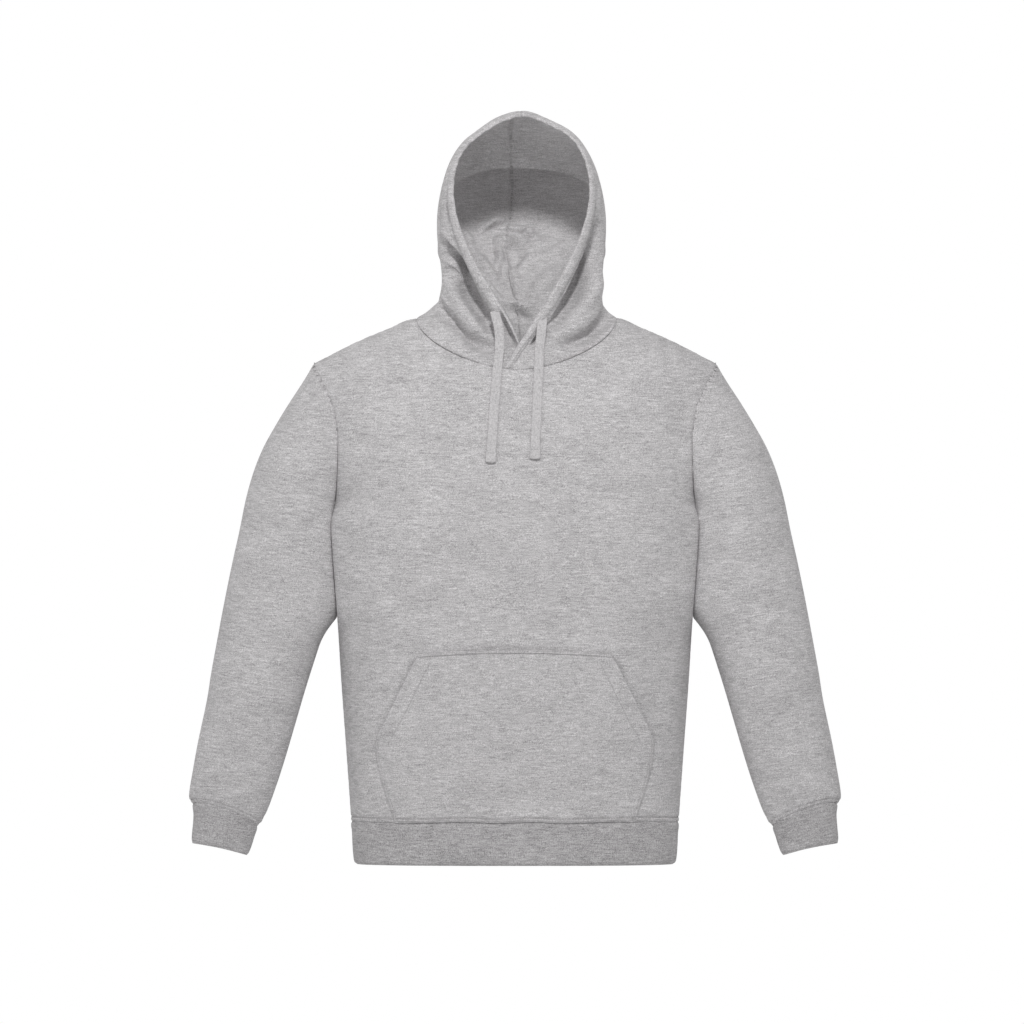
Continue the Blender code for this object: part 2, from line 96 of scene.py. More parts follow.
def ease(low, high, value):
    step = np.clip((np.asarray(value, float) - low) / (high - low), 0, 1)
    return step * step * (3 - 2 * step)


def bell(distance, width):  # 1 in the middle, fading out to both sides
    return np.exp(-(distance / width) ** 2)


def squircle(ratio, power):
    return np.maximum(1 - np.abs(ratio) ** power, 0) ** (1 / power)


def unit(vectors):
    return vectors / np.maximum(np.linalg.norm(vectors, axis=-1, keepdims=True), 1e-9)


def runOf(line):  # how far along a line each of its points lies
    return np.concatenate([[0], np.cumsum(np.linalg.norm(np.diff(line, axis=0), axis=1))])


def spread(count, pinch=0.0, ends="both"):  # places from 0 to 1 that close up towards the ends
    t = np.linspace(0, 1, count + 1)
    if ends == "both":
        return t - pinch * np.sin(2 * np.pi * t) / (2 * np.pi)
    return t - (pinch if ends == "start" else -pinch) * np.sin(np.pi * t) / np.pi


def evenOut(curve, low, high, places):  # values from low to high that lie evenly along a curve
    fine = np.linspace(low, high, 4000)
    run = runOf(curve(fine))
    return np.interp(places * run[-1], run, fine)


# Sheets of cloth: a grid of points with its own lengths and outward directions

seam = {
    "allowance": ((1.8, 2.8), (1.1, 1.0)),  # its two rows: how far past the edge, how far under
    "cornerShare": 0.15, "cornerReach": 5, "cornerTurn": 0.8,  # it narrows towards a corner
    "puffAt": 7, "puffWidth": 5,  # beside a seam the cloth stands a little full
    "smooth": 14,  # folds die out this near a seam
}


def measure(points):  # distance across, from the middle column, and along, from the first row
    across = np.linalg.norm(np.diff(points, axis=0), axis=2)
    down = np.linalg.norm(np.diff(points, axis=1), axis=2)
    u = np.concatenate([np.zeros((1, points.shape[1])), np.cumsum(across, axis=0)])
    v = np.concatenate([np.zeros((points.shape[0], 1)), np.cumsum(down, axis=1)], axis=1)
    return u - u[len(u) // 2], v


def outwards(points, way, closed=False):
    across, down = np.gradient(points, axis=0), np.gradient(points, axis=1)
    if closed:
        across[0] = across[-1] = (points[1] - points[-2]) / 2
    normal = unit(np.cross(across, down))
    middle = normal[normal.shape[0] // 2, normal.shape[1] // 2]
    return normal if np.dot(middle, way) > 0 else -normal


def raised(points, normal, relief):
    return points + normal * relief[:, :, None]


def nearLine(a, b, line):  # how far each point lies from a line, and its share of the way along it
    line = np.array(line, float)
    steps = np.diff(line, axis=0)
    sizes = np.linalg.norm(steps, axis=1)
    near, share, before = np.full(a.shape, 1e9), np.zeros_like(a), 0.0
    for (x, y), (dx, dy), size in zip(line, steps, sizes):
        t = np.clip(((a - x) * dx + (b - y) * dy) / (size * size), 0, 1)
        gap = np.hypot(a - x - t * dx, b - y - t * dy)
        share = np.where(gap < near, (before + t * size) / sizes.sum(), share)
        near = np.minimum(near, gap)
        before += size
    return near, share


def creases(a, b, folds):  # soft ridges and troughs; a fold is its width, its height, then its points
    relief = np.zeros_like(a)
    for width, height, *path in folds:
        near, share = nearLine(a, b, np.reshape(path, (-1, 2)))
        relief += height * bell(near, width) * np.sin(np.pi * np.clip(share, 0.02, 0.98)) ** 0.7
    return relief


def seamRoll(distance, depth=1.0, width=1.5, puff=0.3):  # cloth turns in at a seam
    return -depth * bell(distance, width) + puff * bell(distance - seam["puffAt"], seam["puffWidth"])


def pucker(distance, run, amount=0.3, wave=11.0, reach=9.0):  # small uneven pulls along a seam
    pulls = np.sin(2 * np.pi * run / wave + 1.7 * np.sin(run / 37.0)) + 0.6 * np.sin(run / (wave * 0.31) + 2.1)
    return amount * pulls * bell(distance, reach)


def along(points, edge):  # the rows of a sheet counted from one of its edges
    rows = np.moveaxis(points, 0 if edge in ("left", "right") else 1, 0)
    return rows[::-1] if edge in ("right", "top") else rows


def back(rows, edge):
    rows = rows[::-1] if edge in ("right", "top") else rows
    return np.moveaxis(rows, 0, 0 if edge in ("left", "right") else 1)


def leaving(rows):  # the way the cloth runs out over its edge
    return unit(rows[0] - rows[1])


def turnIn(points, way, edges, closed=False, size=1.0):  # the seam allowance dives under its neighbour
    for edge in edges:
        rows, facing = along(points, edge), along(outwards(points, way, closed), edge)
        ahead, run = leaving(rows), runOf(rows[0])
        part = np.ones_like(run)
        if not closed:
            heading, least = unit(np.gradient(rows[0], axis=0)), seam["cornerShare"]
            bends = np.sum(heading[:-2] * heading[2:], axis=1) < seam["cornerTurn"]
            for k in [0, len(run) - 1] + list(np.flatnonzero(bends) + 1):
                full = ease(0, seam["cornerReach"], np.abs(run - run[k]))
                part = np.minimum(part, least + (1 - least) * full)
        part = part[:, None]
        extra = [rows[0] + (ahead * out - facing[0] * down) * size * part for out, down in seam["allowance"]]
        points = back(np.concatenate([np.stack(extra), rows]), edge)
    return points


def rollEdge(points, way, edge, radius, lay=()):  # a folded edge: round, with its hem lying inside
    rows, facing = along(points, edge), along(outwards(points, way), edge)
    ahead = leaving(rows)
    radius = np.broadcast_to(np.asarray(radius, float), rows.shape[1:2])[:, None]
    turns = np.radians((30, 60, 90, 120, 150, 180))
    roll = [rows[0] + ahead * radius * math.sin(t) - facing[0] * radius * (1 - math.cos(t)) for t in turns]
    steps = np.linalg.norm(np.diff(rows, axis=0), axis=2)
    run = np.concatenate([np.zeros((1, rows.shape[1])), np.cumsum(steps, axis=0)])
    every = np.arange(rows.shape[1])
    for distance in lay:
        k = np.argmin(np.abs(run - distance), axis=0)
        roll.append(rows[k, every] - facing[k, every] * 2 * radius)
    return back(np.concatenate([np.stack(roll[::-1]), rows]), edge)


def gridMesh(name, points, closed=False, tilt=0.0):  # a mesh over the points, and a bmesh to finish it in
    columns, rows = points.shape[0] - 1, points.shape[1] - 1
    u, v = measure(points)
    grid = bmesh.new()
    bmesh.ops.create_grid(grid, x_segments=columns, y_segments=rows, size=0.5)
    mesh = bpy.data.meshes.new(name)
    grid.to_mesh(mesh)
    grid.free()
    flat = np.empty(len(mesh.vertices) * 3)
    mesh.vertices.foreach_get("co", flat)
    i = np.rint((flat[0::3] + 0.5) * columns).astype(int)
    j = np.rint((flat[1::3] + 0.5) * rows).astype(int)
    places = points[i, j] * mm
    mesh.vertices.foreach_set("co", places.ravel())
    corners = np.empty(len(mesh.loops), int)
    mesh.loops.foreach_get("vertex_index", corners)
    layer = mesh.uv_layers.new(name="cloth")
    layer.data.foreach_set("uv", (np.stack([u[i, j], v[i, j]], axis=1)[corners] * mm).ravel())
    # the courses lie level, or tilted, whatever way the cloth faces
    cosine, sine = math.cos(math.radians(tilt)), math.sin(math.radians(tilt))
    x, y, z = places.T
    turned = np.stack([x * cosine - z * sine, y, z * cosine + x * sine], axis=1)
    mesh.attributes.new("grain", "FLOAT_VECTOR", "POINT").data.foreach_set("vector", turned.ravel())
    grid = bmesh.new()
    grid.from_mesh(mesh)
    if closed:
        edge = [vertex for vertex, column in zip(grid.verts, i) if column in (0, columns)]
        bmesh.ops.remove_doubles(grid, verts=edge, dist=1e-6)
    return mesh, grid


def shadeMesh(mesh):  # smooth, with sharp edges where it turns a corner
    mesh.shade_smooth()
    mesh.set_sharp_from_angle(angle=math.radians(50))


def clothPiece(name, node, points, way, material, thick=2.0, closed=False, tilt=0.0, inner=None):
    mesh, grid = gridMesh(name, points, closed, tilt)
    natural = np.cross(np.gradient(points, axis=0), np.gradient(points, axis=1))
    if np.sum(natural * outwards(points, way, closed)) < 0:
        bmesh.ops.reverse_faces(grid, faces=grid.faces)
    grid.to_mesh(mesh)
    grid.free()
    piece = newObject(name, mesh)
    mesh.materials.append(material)
    shell = piece.modifiers.new("thickness", "SOLIDIFY")
    shell.thickness = thick * mm
    if inner:
        mesh.materials.append(inner)
        shell.material_offset = 1
    shell.offset = -1
    done = bpy.data.meshes.new_from_object(piece.evaluated_get(bpy.context.evaluated_depsgraph_get()))
    piece.modifiers.clear()
    piece.data = done
    done.name = name
    shadeMesh(done)
    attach(piece, "root")
    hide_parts(node)


# Materials

def toLinear(hexColour):
    values = [int(hexColour[k:k + 2], 16) / 255 for k in (1, 3, 5)]
    return [v / 12.92 if v <= 0.04045 else ((v + 0.055) / 1.055) ** 2.4 for v in values] + [1.0]


def addNode(tree, kind, settings=None, links=None):
    node = tree.nodes.new(kind)
    for key, value in (settings or {}).items():
        if isinstance(key, str) and hasattr(node, key):
            setattr(node, key, value)
        else:
            node.inputs[key].default_value = value
    for key, source in (links or {}).items():
        tree.links.new(source, node.inputs[key])
    return node


def newMaterial(name, sockets):
    material = bpy.data.materials.new(name)
    material.use_nodes = True
    shader = material.node_tree.nodes["Principled BSDF"]
    for socket, value in sockets.items():
        shader.inputs[socket].default_value = value
    return material, material.node_tree, shader


# Brushed-back sweatshirt knit of mixed light and dark cotton: a matt face, with short level flecks
# and longer streaks where the mixed fibres lie along a course. Spacings in mm.
sweatshirtKnit = {
    "light": "#d8d6d7", "middle": "#b0aeaf", "dark": "#828081",
    "surface": {"Roughness": 0.92, "Sheen Weight": 0.12, "Sheen Roughness": 0.6, "Specular IOR Level": 0.2},
    # each pattern: how long and how tall its spots are, its detail, where it starts, its share
    "fleck": (1.35, 0.95, 1.5, 3.1, 1.2),
    "streak": (13.0, 1.5, 1.0, 7.7, 0.55),
    "cloud": (60.0, 30.0, 2.0, 1.3, 0.2),
    "softness": 0.6, "stops": (0.33, 0.5, 0.67),  # of the patterns, and of dark, middle and light
    "wale": 1.7, "course": 1.4,  # drawn a little coarser than the real 1.1 mm, so that it shows
    "stitchHeight": 0.22, "bump": 0.5, "loopShare": 0.5, "fuzzShare": 1.5, "ribs": 0.0, "ribHeight": 3.0,
}
# Its brushed back, where less of the dark fibre shows. It is also made lighter still, as painted light that
# lifts the shade inside the hood, which it lines
sweatshirtBackWithPaintedLight = dict(sweatshirtKnit, light="#e4e2e3", middle="#c2c0c1", dark="#989697")
# The same yarn in a fine one-by-one rib, a little darker
ribKnit = dict(sweatshirtKnit, light="#c9c7c8", middle="#a19fa0", dark="#6f6d6e", ribs=2.6, stitchHeight=0.25)
# Flat woven cotton cord: paler, with small slanted floats
wovenCord = dict(sweatshirtKnit, light="#c4c2c3", middle="#b5b3b4", dark="#9c9a9b", wale=2.5, course=1.6,
                 fleck=(1.6, 1.6, 1.5, 3.1, 1.2), streak=(3.0, 3.0, 1.0, 7.7, 0.55),
                 cloud=(60.0, 30.0, 2.0, 1.3, 0.0), stitchHeight=0.3)


def knitMaterial(name, knit):
    material, tree, shader = newMaterial(name, knit["surface"])
    grain = addNode(tree, "ShaderNodeAttribute", {"attribute_name": "grain"}).outputs["Vector"]
    mixed, total, made = None, 0.0, {}
    for pattern in ("fleck", "streak", "cloud"):
        length, height, detail, start, share = knit[pattern]
        wide, tall = 1 / (length * mm), 1 / (height * mm)
        moved = addNode(tree, "ShaderNodeMapping", {"Location": (start, start * 0.7, start * 0.3),
                                                    "Scale": (wide, wide, tall)}, {"Vector": grain})
        spots = addNode(tree, "ShaderNodeTexNoise", {"Scale": 1.0, "Detail": detail,
                                                     "Roughness": knit["softness"]},
                        {"Vector": moved.outputs[0]}).outputs["Fac"]
        before = {} if mixed is None else {2: mixed}
        mixed = addNode(tree, "ShaderNodeMath", {"operation": "MULTIPLY_ADD", 1: share, 2: 0.0},
                        {0: spots, **before}).outputs[0]
        total += share
        made[pattern] = spots
    mean = addNode(tree, "ShaderNodeMath", {"operation": "DIVIDE", 1: total}, {0: mixed})
    ramp = addNode(tree, "ShaderNodeValToRGB", {}, {0: mean.outputs[0]})
    stops, (low, middle, high) = ramp.color_ramp.elements, knit["stops"]
    stops[0].position, stops[0].color = low, toLinear(knit["dark"])
    stops[1].position, stops[1].color = high, toLinear(knit["light"])
    stops.new(middle).color = toLinear(knit["middle"])
    tree.links.new(ramp.outputs[0], shader.inputs["Base Color"])

    # the knit's loops: a small V over each wale, one course after another
    place = addNode(tree, "ShaderNodeUVMap", {"uv_map": "cloth"}).outputs[0]
    across, up = addNode(tree, "ShaderNodeSeparateXYZ", {}, {0: place}).outputs[:2]
    half = knit["wale"] * mm / 2
    side = addNode(tree, "ShaderNodeMath", {"operation": "PINGPONG", 1: half}, {0: across}).outputs[0]
    turn = 2 * math.pi / (knit["course"] * mm)
    course = addNode(tree, "ShaderNodeMath", {"operation": "MULTIPLY", 1: turn}, {0: up}).outputs[0]
    slant = addNode(tree, "ShaderNodeMath", {"operation": "MULTIPLY_ADD", 1: math.pi / half},
                    {0: side, 2: course})
    loop = addNode(tree, "ShaderNodeMath", {"operation": "SINE"}, {0: slant.outputs[0]}).outputs[0]
    height = addNode(tree, "ShaderNodeMath", {"operation": "MULTIPLY", 1: 1 / half}, {0: side}).outputs[0]
    layers = [(loop, knit["loopShare"]), (made["fleck"], knit["fuzzShare"])]
    if knit["ribs"]:
        apart = knit["ribs"] * mm
        rib = addNode(tree, "ShaderNodeMath", {"operation": "PINGPONG", 1: apart / 2}, {0: across}).outputs[0]
        layers.append((rib, knit["ribHeight"] / apart))
    for layer, share in layers:
        height = addNode(tree, "ShaderNodeMath", {"operation": "MULTIPLY_ADD", 1: share},
                         {0: layer, 2: height}).outputs[0]
    bump = addNode(tree, "ShaderNodeBump", {"Strength": knit["bump"], "Distance": knit["stitchHeight"] * mm},
                   {"Height": height})
    tree.links.new(bump.outputs[0], shader.inputs["Normal"])
    return material


bodyCloth = knitMaterial("heather_sweatshirt_knit", sweatshirtKnit)
bodyBackWithPaintedLight = knitMaterial("heather_sweatshirt_knit_back_painted_light", sweatshirtBackWithPaintedLight)
ribCloth = knitMaterial("heather_rib_knit", ribKnit)
cordCloth = knitMaterial("woven_cord", wovenCord)
print("materials made")


# Body

body = {
    "hemSeam": -652, "underarm": -262, "shoulderTip": -58,
    "neckHalf": 131, "neckSide": 2, "neckDrop": 68, "neckRise": 8, "neckShift": 4,
    "neckCurve": (1.65, 2.0), "neckFull": 0.12, "slope": 0.32, "droop": 0.001,
    "roundFront": 95, "roundBack": 110, "armholeHalf": 60, "squareness": 2.55,
    "lift": (10, 190), "lowerRows": 9, "armholeRows": 12,
    "neckFillet": (2.4, 143, 12, 26),  # the shoulder seam rises a little beside the neck
    # height, half width
    "edge": [
        (-652, 212.5), (-560, 219), (-469, 225.6), (-365, 231.8), (-300, 236.6), (-262, 238), (-242, 234),
        (-218, 231), (-151, 229.5), (-133, 232), (-114, 235.5), (-99, 242), (-82, 249.6), (-66, 258),
        (-58, 261),
    ],
    # height, how far out in front, how far out behind
    "depth": [
        (-652, 88, 86), (-560, 98, 94), (-469, 104, 100), (-365, 108, 106), (-262, 110, 112),
        (-180, 106, 118), (-100, 92, 112), (-50, 80, 98), (10, 72, 76),
    ],
    "columns": (44, 36), "rows": (110, 70),
    # below the underarm the sleeve and the body's side press flat on each other: over which heights
    # this comes and goes, how much fuller the side gets, and how far the sleeve gives way
    "pressed": (-425, -350, -262, -238), "pressOut": 0.07, "pressIn": 15,
    "turned": 6.0,  # what the turned edges add to the panels' cut
    "seamDepth": {"bottom": 1.0, "top": 0.8, "left": 0.4, "right": 0.4}, "pucker": 0.3,
    "hemWave": (0.8, 19, 1.3, 47, 18),  # height, two lengths of wave and their mix, how far up it reaches
    "foldsFade": (0.1, 0.5),  # folds fade as the cloth turns away from the front or the back
    # folds seen from the front: width, height, then the path's points in x and z
    "frontFolds": [
        (9, -2.5, -236, -262, -222, -280, -206, -290), (9, -2.5, 236, -258, 220, -278, 200, -290),
        (16, -2.2, -222, -300, -196, -322, -165, -330), (16, -2.4, 222, -296, 196, -326, 168, -340),
        (14, -2.0, -230, -100, -214, -140, -212, -190), (14, -2.0, 228, -104, 213, -150, 212, -196),
        (22, -2.6, -196, -380, -186, -470, -190, -560), (22, -3.0, 196, -370, 186, -460, 188, -575),
        (26, 1.6, -150, -90, -120, -140, -112, -190), (28, 1.4, 120, -70, 150, -130, 150, -180),
        (24, 1.5, -90, -230, -20, -250, 60, -236), (26, -1.2, -60, -330, 20, -345, 110, -330),
        (14, -1.6, -150, -560, -156, -600, -140, -640), (14, -1.6, 158, -570, 164, -610, 150, -642),
    ],
    "backFolds": [
        (12, -3.0, -236, -262, -214, -282, -176, -300), (12, -3.2, 236, -258, 210, -280, 170, -302),
        (18, -2.6, -200, -120, -190, -180, -196, -230), (18, -2.6, 204, -110, 188, -176, 198, -236),
        (16, -2.0, -120, -30, -60, -44, 10, -46, 80, -40), (26, 1.8, -90, -90, 0, -104, 96, -92),
        (30, -1.8, -150, -330, -60, -352, 40, -346), (30, 1.8, -60, -440, 50, -460, 150, -440),
        (24, -3.0, -190, -420, -176, -520, -184, -610), (24, -3.0, 194, -400, 178, -500, 186, -600),
        (12, -1.6, -100, -560, -90, -600, -104, -640), (12, -1.4, 60, -580, 70, -612, 64, -644),
    ],
}


def edgeX(height):
    return through(body["edge"], height, 1)


def bodyDepth(side, height):
    return through(body["depth"], height, 1 if side < 0 else 2)


def shoulderZ(x):
    out = np.abs(x) - body["neckHalf"]
    return body["neckSide"] - body["slope"] * out - body["droop"] * np.maximum(out, 0) ** 2


def shoulderRound(side, below):
    radius = body["roundFront"] if side < 0 else body["roundBack"]
    left = 1 - np.clip(below / radius, 0, 1)
    return np.sqrt(1 - left * left)


def necklineZ(side, x):
    share = np.clip(np.abs(x) / body["neckHalf"], 0, 1)
    if side < 0:
        return body["neckSide"] - body["neckDrop"] * squircle(share, body["neckCurve"][0])
    return body["neckSide"] + body["neckRise"] * squircle(share, body["neckCurve"][1])


def neckShare():  # the side of the neck, as a share of the way out to the shoulder's tip
    return body["neckHalf"] / float(edgeX(body["shoulderTip"]))


# The outer face. side is -1 in front and 1 behind, across runs from -1 to 1 between the sides, and
# step runs from 0 at the hem seam past lowerRows at the underarm to the shoulder seam.
def bodyPoint(side, across, step):
    across, step = np.broadcast_arrays(np.asarray(across, float), np.asarray(step, float))
    low, arm, tip = body["hemSeam"], body["underarm"], body["shoulderTip"]
    angle = np.pi * np.clip(step - body["lowerRows"], 0, None) / body["armholeRows"]
    upper = (arm + tip) / 2 - (tip - arm) / 2 * np.cos(angle)
    height = np.where(step <= body["lowerRows"], low + (arm - low) * step / body["lowerRows"], upper)
    held = np.minimum(angle, np.pi - 0.02)
    heldZ = (arm + tip) / 2 - (tip - arm) / 2 * np.cos(held)
    full = bodyDepth(side, heldZ) * shoulderRound(side, shoulderZ(edgeX(heldZ)) - heldZ)
    share = squircle(body["armholeHalf"] * np.sin(held) / full, body["squareness"])
    share = np.where(angle > 0, share, 1.0)
    weight = 1 - ease(*body["lift"], tip - height)
    x, topX = across * edgeX(height), across * edgeX(tip)
    onNeck = np.abs(topX) < body["neckHalf"] - 1e-6
    top = np.where(onNeck, necklineZ(side, topX), shoulderZ(topX))
    z = height + weight * (top - shoulderZ(edgeX(tip)))
    below = shoulderZ(x) - z - weight * (shoulderZ(edgeX(tip)) - tip)
    below = np.maximum(below, body["neckFull"] * weight * np.maximum(body["neckHalf"] - np.abs(topX), 0))
    depth = bodyDepth(side, z) * shoulderRound(side, below) * squircle(across * share, body["squareness"])
    shift = body["neckShift"] * weight * (1 - across * across) ** 2
    return np.stack([x + shift, side * depth, z], axis=-1)


def pressed(height):
    start, full, fading, end = body["pressed"]
    return ease(start, full, height) * (1 - ease(fading, end, height))


def panelSheet(side):
    neck = neckShare()
    sideColumns, neckColumns = body["columns"]
    parts = [(-1, -neck, sideColumns, 0.6), (-neck, 0, neckColumns, 0.0),
             (0, neck, neckColumns, 0.0), (neck, 1, sideColumns, 0.6)]
    across = [np.array([-1.0])]
    for low, high, count, pinch in parts:
        across.append(evenOut(lambda a: bodyPoint(side, a, 5.0), low, high, spread(count, pinch))[1:])
    across = np.concatenate(across)
    lower = spread(body["rows"][0], 0.6, "start") * body["lowerRows"]
    rise = spread(body["rows"][1], 0.6, "end")[1:]
    upper = body["lowerRows"] + body["armholeRows"] * np.arccos(1 - 2 * rise) / np.pi
    points = bodyPoint(side, across[:, None], np.concatenate([lower, upper])[None, :])
    out, z = np.abs(points[:, :, 0]), points[:, :, 2]
    fuller = np.minimum(out * (1 + body["pressOut"] * pressed(z)), np.maximum(edgeX(z), out))
    points[:, :, 0] = np.sign(points[:, :, 0]) * np.where(pressed(z) > 0, fuller, out)
    return points


# Pocket: made from the front panel's own surface, moved out
pocket = {
    # height, half width, from the hem seam up; the sides are sewn up to the sixth, then open
    "outline": [
        (-651.7, 155), (-633, 161), (-614, 168), (-594, 173.5), (-575, 178), (-550, 181), (-513, 162),
        (-474.5, 143), (-434.5, 123.5),
    ],
    "sewnRows": 6, "openFrom": -550, "bow": 6, "columns": 130, "rows": (44, 60),
    # how far the cloth stands off the panel: all over, at least, then with how far each reaches: more away
    # from the sides, more at the openings, and less where the top and the sides are sewn down
    "lift": 2.6, "least": 0.5, "fuller": (1.0, 30), "gape": (3.2, 7),
    "sewnTop": (2.0, 1.3), "sewnSide": (1.7, 2.0), "edgeRadius": 1.1, "thick": 1.5, "bowFrom": -520,
    # the panel sinks in along the pocket's edges: depth, width, share beside the sewn sides and along
    # the openings, and how far outside the openings
    "trough": (2.2, 2.4, 0.35, 0.8, 0.8),
    "folds": [
        (18, -1.2, -120, -470, -132, -540, -120, -600), (18, -1.6, 118, -470, 136, -540, 122, -610),
        (22, 1.2, -60, -520, 0, -536, 70, -524), (16, -1.0, -90, -610, -10, -622, 80, -612),
    ],
}
# Lines of stitches: how far each lies from its edge, and the depth and width of the groove it pulls
sewing = {
    "hem": (5.5, 1.4, 1.2), "sleeve": (5.0, 0.7, 1.2), "pocketTop": (5.0, 1.5, 1.1),
    "pocketSide": (5.0, 0.5, 1.2), "pocketOpening": (21.0, 0.4, 1.5), "pocketEdge": (1.6, 0.0, 1.0),
    "casing": (3.5, 0.5, 1.0), "casingEdge": (0.0, 0.9, 1.5),  # counted from the casing's inner edge
}


def groove(distance, line):
    at, depth, width = sewing[line]
    return depth * bell(distance - at, width)


def pocketTrough(x, z):
    depth, width, besideSeam, besideOpening, outside = pocket["trough"]
    rows, sewn = pocket["outline"], pocket["sewnRows"]
    high, half = rows[-1]
    top = [(a, high + pocket["bow"] * (1 - (a / half) ** 2)) for a in np.linspace(-half, half, 15)]
    trough = bell(nearLine(x, z, top)[0], width)
    for hand in (-1, 1):
        side = [(hand * w, h) for h, w in rows[:sewn]]
        opening = [(hand * (w + outside), h) for h, w in rows[sewn - 1:]]
        trough = np.maximum(trough, besideSeam * bell(nearLine(x, z, side)[0], width))
        trough = np.maximum(trough, besideOpening * bell(nearLine(x, z, opening)[0], width))
    return depth * trough


def hemWave(x, v):  # the hem seam doesn't run quite level
    height, short, mix, long, reach = body["hemWave"]
    return height * np.sin(x / short + mix * np.sin(x / long)) * bell(v, reach)


def dressPanel(side):
    points = panelSheet(side)
    u, v = measure(points)
    rise, middle, reach, depth = body["neckFillet"]
    fillet = np.exp(-((np.abs(points[:, :, 0]) - middle) / reach) ** 2 - ((v[:, -1:] - v) / depth) ** 2)
    points[:, :, 2] += rise * fillet
    points[:, :, 2] += hemWave(points[:, :, 0], v)
    normal = outwards(points, (0, side, 0))
    u, v = measure(points)
    edges = {"bottom": (v, u), "top": (v[:, -1:] - v, u), "left": (u - u[0], v), "right": (u[-1] - u, v)}
    folds = body["frontFolds"] if side < 0 else body["backFolds"]
    facing = ease(*body["foldsFade"], side * normal[:, :, 1])
    relief = creases(points[:, :, 0], points[:, :, 2], folds) * facing
    for edge, (distance, run) in edges.items():
        depth = body["seamDepth"][edge]
        relief = relief * ease(0, seam["smooth"], distance)
        relief = relief + seamRoll(distance, depth) + pucker(distance, run, body["pucker"] * depth)
    relief -= groove(v, "hem")
    if side < 0:
        relief -= pocketTrough(points[:, :, 0], points[:, :, 2])
    return raised(points, normal, relief), (0, side, 0)


# Sewing

# Spun polyester sewing thread: matt, with a fine twist. Its colour is painted darker than the cloth, as painted
# shade for the small pits the stitches pull into the cloth
thread = {
    "length": 2.7, "pitch": 3.4, "width": 0.85, "lift": 0.1,
    # both ends of the thread's colour sit below the cloth's tone: painted shade of the stitch pits
    "twist": 2.0, "light": "#aeacad", "dark": "#848283",
}


def threadMaterial():
    material, tree, shader = newMaterial("sewing_thread_painted_shade", {"Roughness": 0.7})
    place = addNode(tree, "ShaderNodeTexCoord").outputs["Object"]
    twist = addNode(tree, "ShaderNodeTexNoise", {"Scale": 1 / (thread["twist"] * mm), "Detail": 1.0},
                    {"Vector": place})
    ramp = addNode(tree, "ShaderNodeValToRGB", {}, {0: twist.outputs["Fac"]})
    ramp.color_ramp.elements[0].color = toLinear(thread["dark"])
    ramp.color_ramp.elements[1].color = toLinear(thread["light"])
    tree.links.new(ramp.outputs[0], shader.inputs["Base Color"])
    return material


threadWithPaintedShade = threadMaterial()


def lineOn(points, way, edge, distance, closed=False):  # a line on a sheet at a distance from an edge
    u, v = measure(points)
    normal = outwards(points, way, closed)
    if edge in ("left", "right"):
        points, normal = points.transpose(1, 0, 2), normal.transpose(1, 0, 2)
        gap = (u - u[0]).T if edge == "left" else (u[-1] - u).T
    else:
        gap = v if edge == "bottom" else v[:, -1:] - v
    far = np.broadcast_to(distance, points.shape[:1])
    line, facing = [], []
    for k in range(points.shape[0]):
        order = np.argsort(gap[k])
        line.append([np.interp(far[k], gap[k][order], points[k][order, axis]) for axis in range(3)])
        facing.append([np.interp(far[k], gap[k][order], normal[k][order, axis]) for axis in range(3)])
    return np.array(line), np.array(facing)


def pointOn(line, run, at):
    return np.array([np.interp(at, run, line[:, axis]) for axis in range(3)])


def sew(name, lines, keep=None):  # one small thread for each stitch, all joined in one piece
    stitches = bmesh.new()
    size = Matrix.Diagonal((thread["length"] / 2, thread["width"] / 2, thread["width"] / 2, 1))
    for line, facing in lines:
        run = runOf(line)
        for at in np.arange(thread["pitch"], run[-1] - thread["pitch"], thread["pitch"]):
            spot = pointOn(line, run, at)
            if keep is not None and not keep(spot):
                continue
            up = Vector(pointOn(facing, run, at)).normalized()
            forward = Vector(pointOn(line, run, at + 1) - spot).normalized()
            side = up.cross(forward).normalized()
            turn = Matrix((forward, side, up)).transposed().to_4x4()
            shape = Matrix.Translation((Vector(spot) + up * thread["lift"]) * mm) @ turn @ size
            bmesh.ops.create_uvsphere(stitches, u_segments=6, v_segments=4, radius=mm, matrix=shape)
    mesh = bpy.data.meshes.new(name)
    stitches.to_mesh(mesh)
    stitches.free()
    mesh.shade_smooth()
    mesh.materials.append(threadWithPaintedShade)
    piece = newObject(name, mesh)
    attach(piece, "root")
    return piece


allEdges = ("bottom", "top", "left", "right")
frontSheet, frontWay = dressPanel(-1)
backSheet, backWay = dressPanel(1)
for name, node, sheet, way in (("frontPanelCloth", "front_panel", frontSheet, frontWay),
                               ("backPanelCloth", "back_panel", backSheet, backWay)):
    clothPiece(name, node, turnIn(sheet, way, allEdges), way, bodyCloth)
print("panels made")


# Sleeves and cuffs

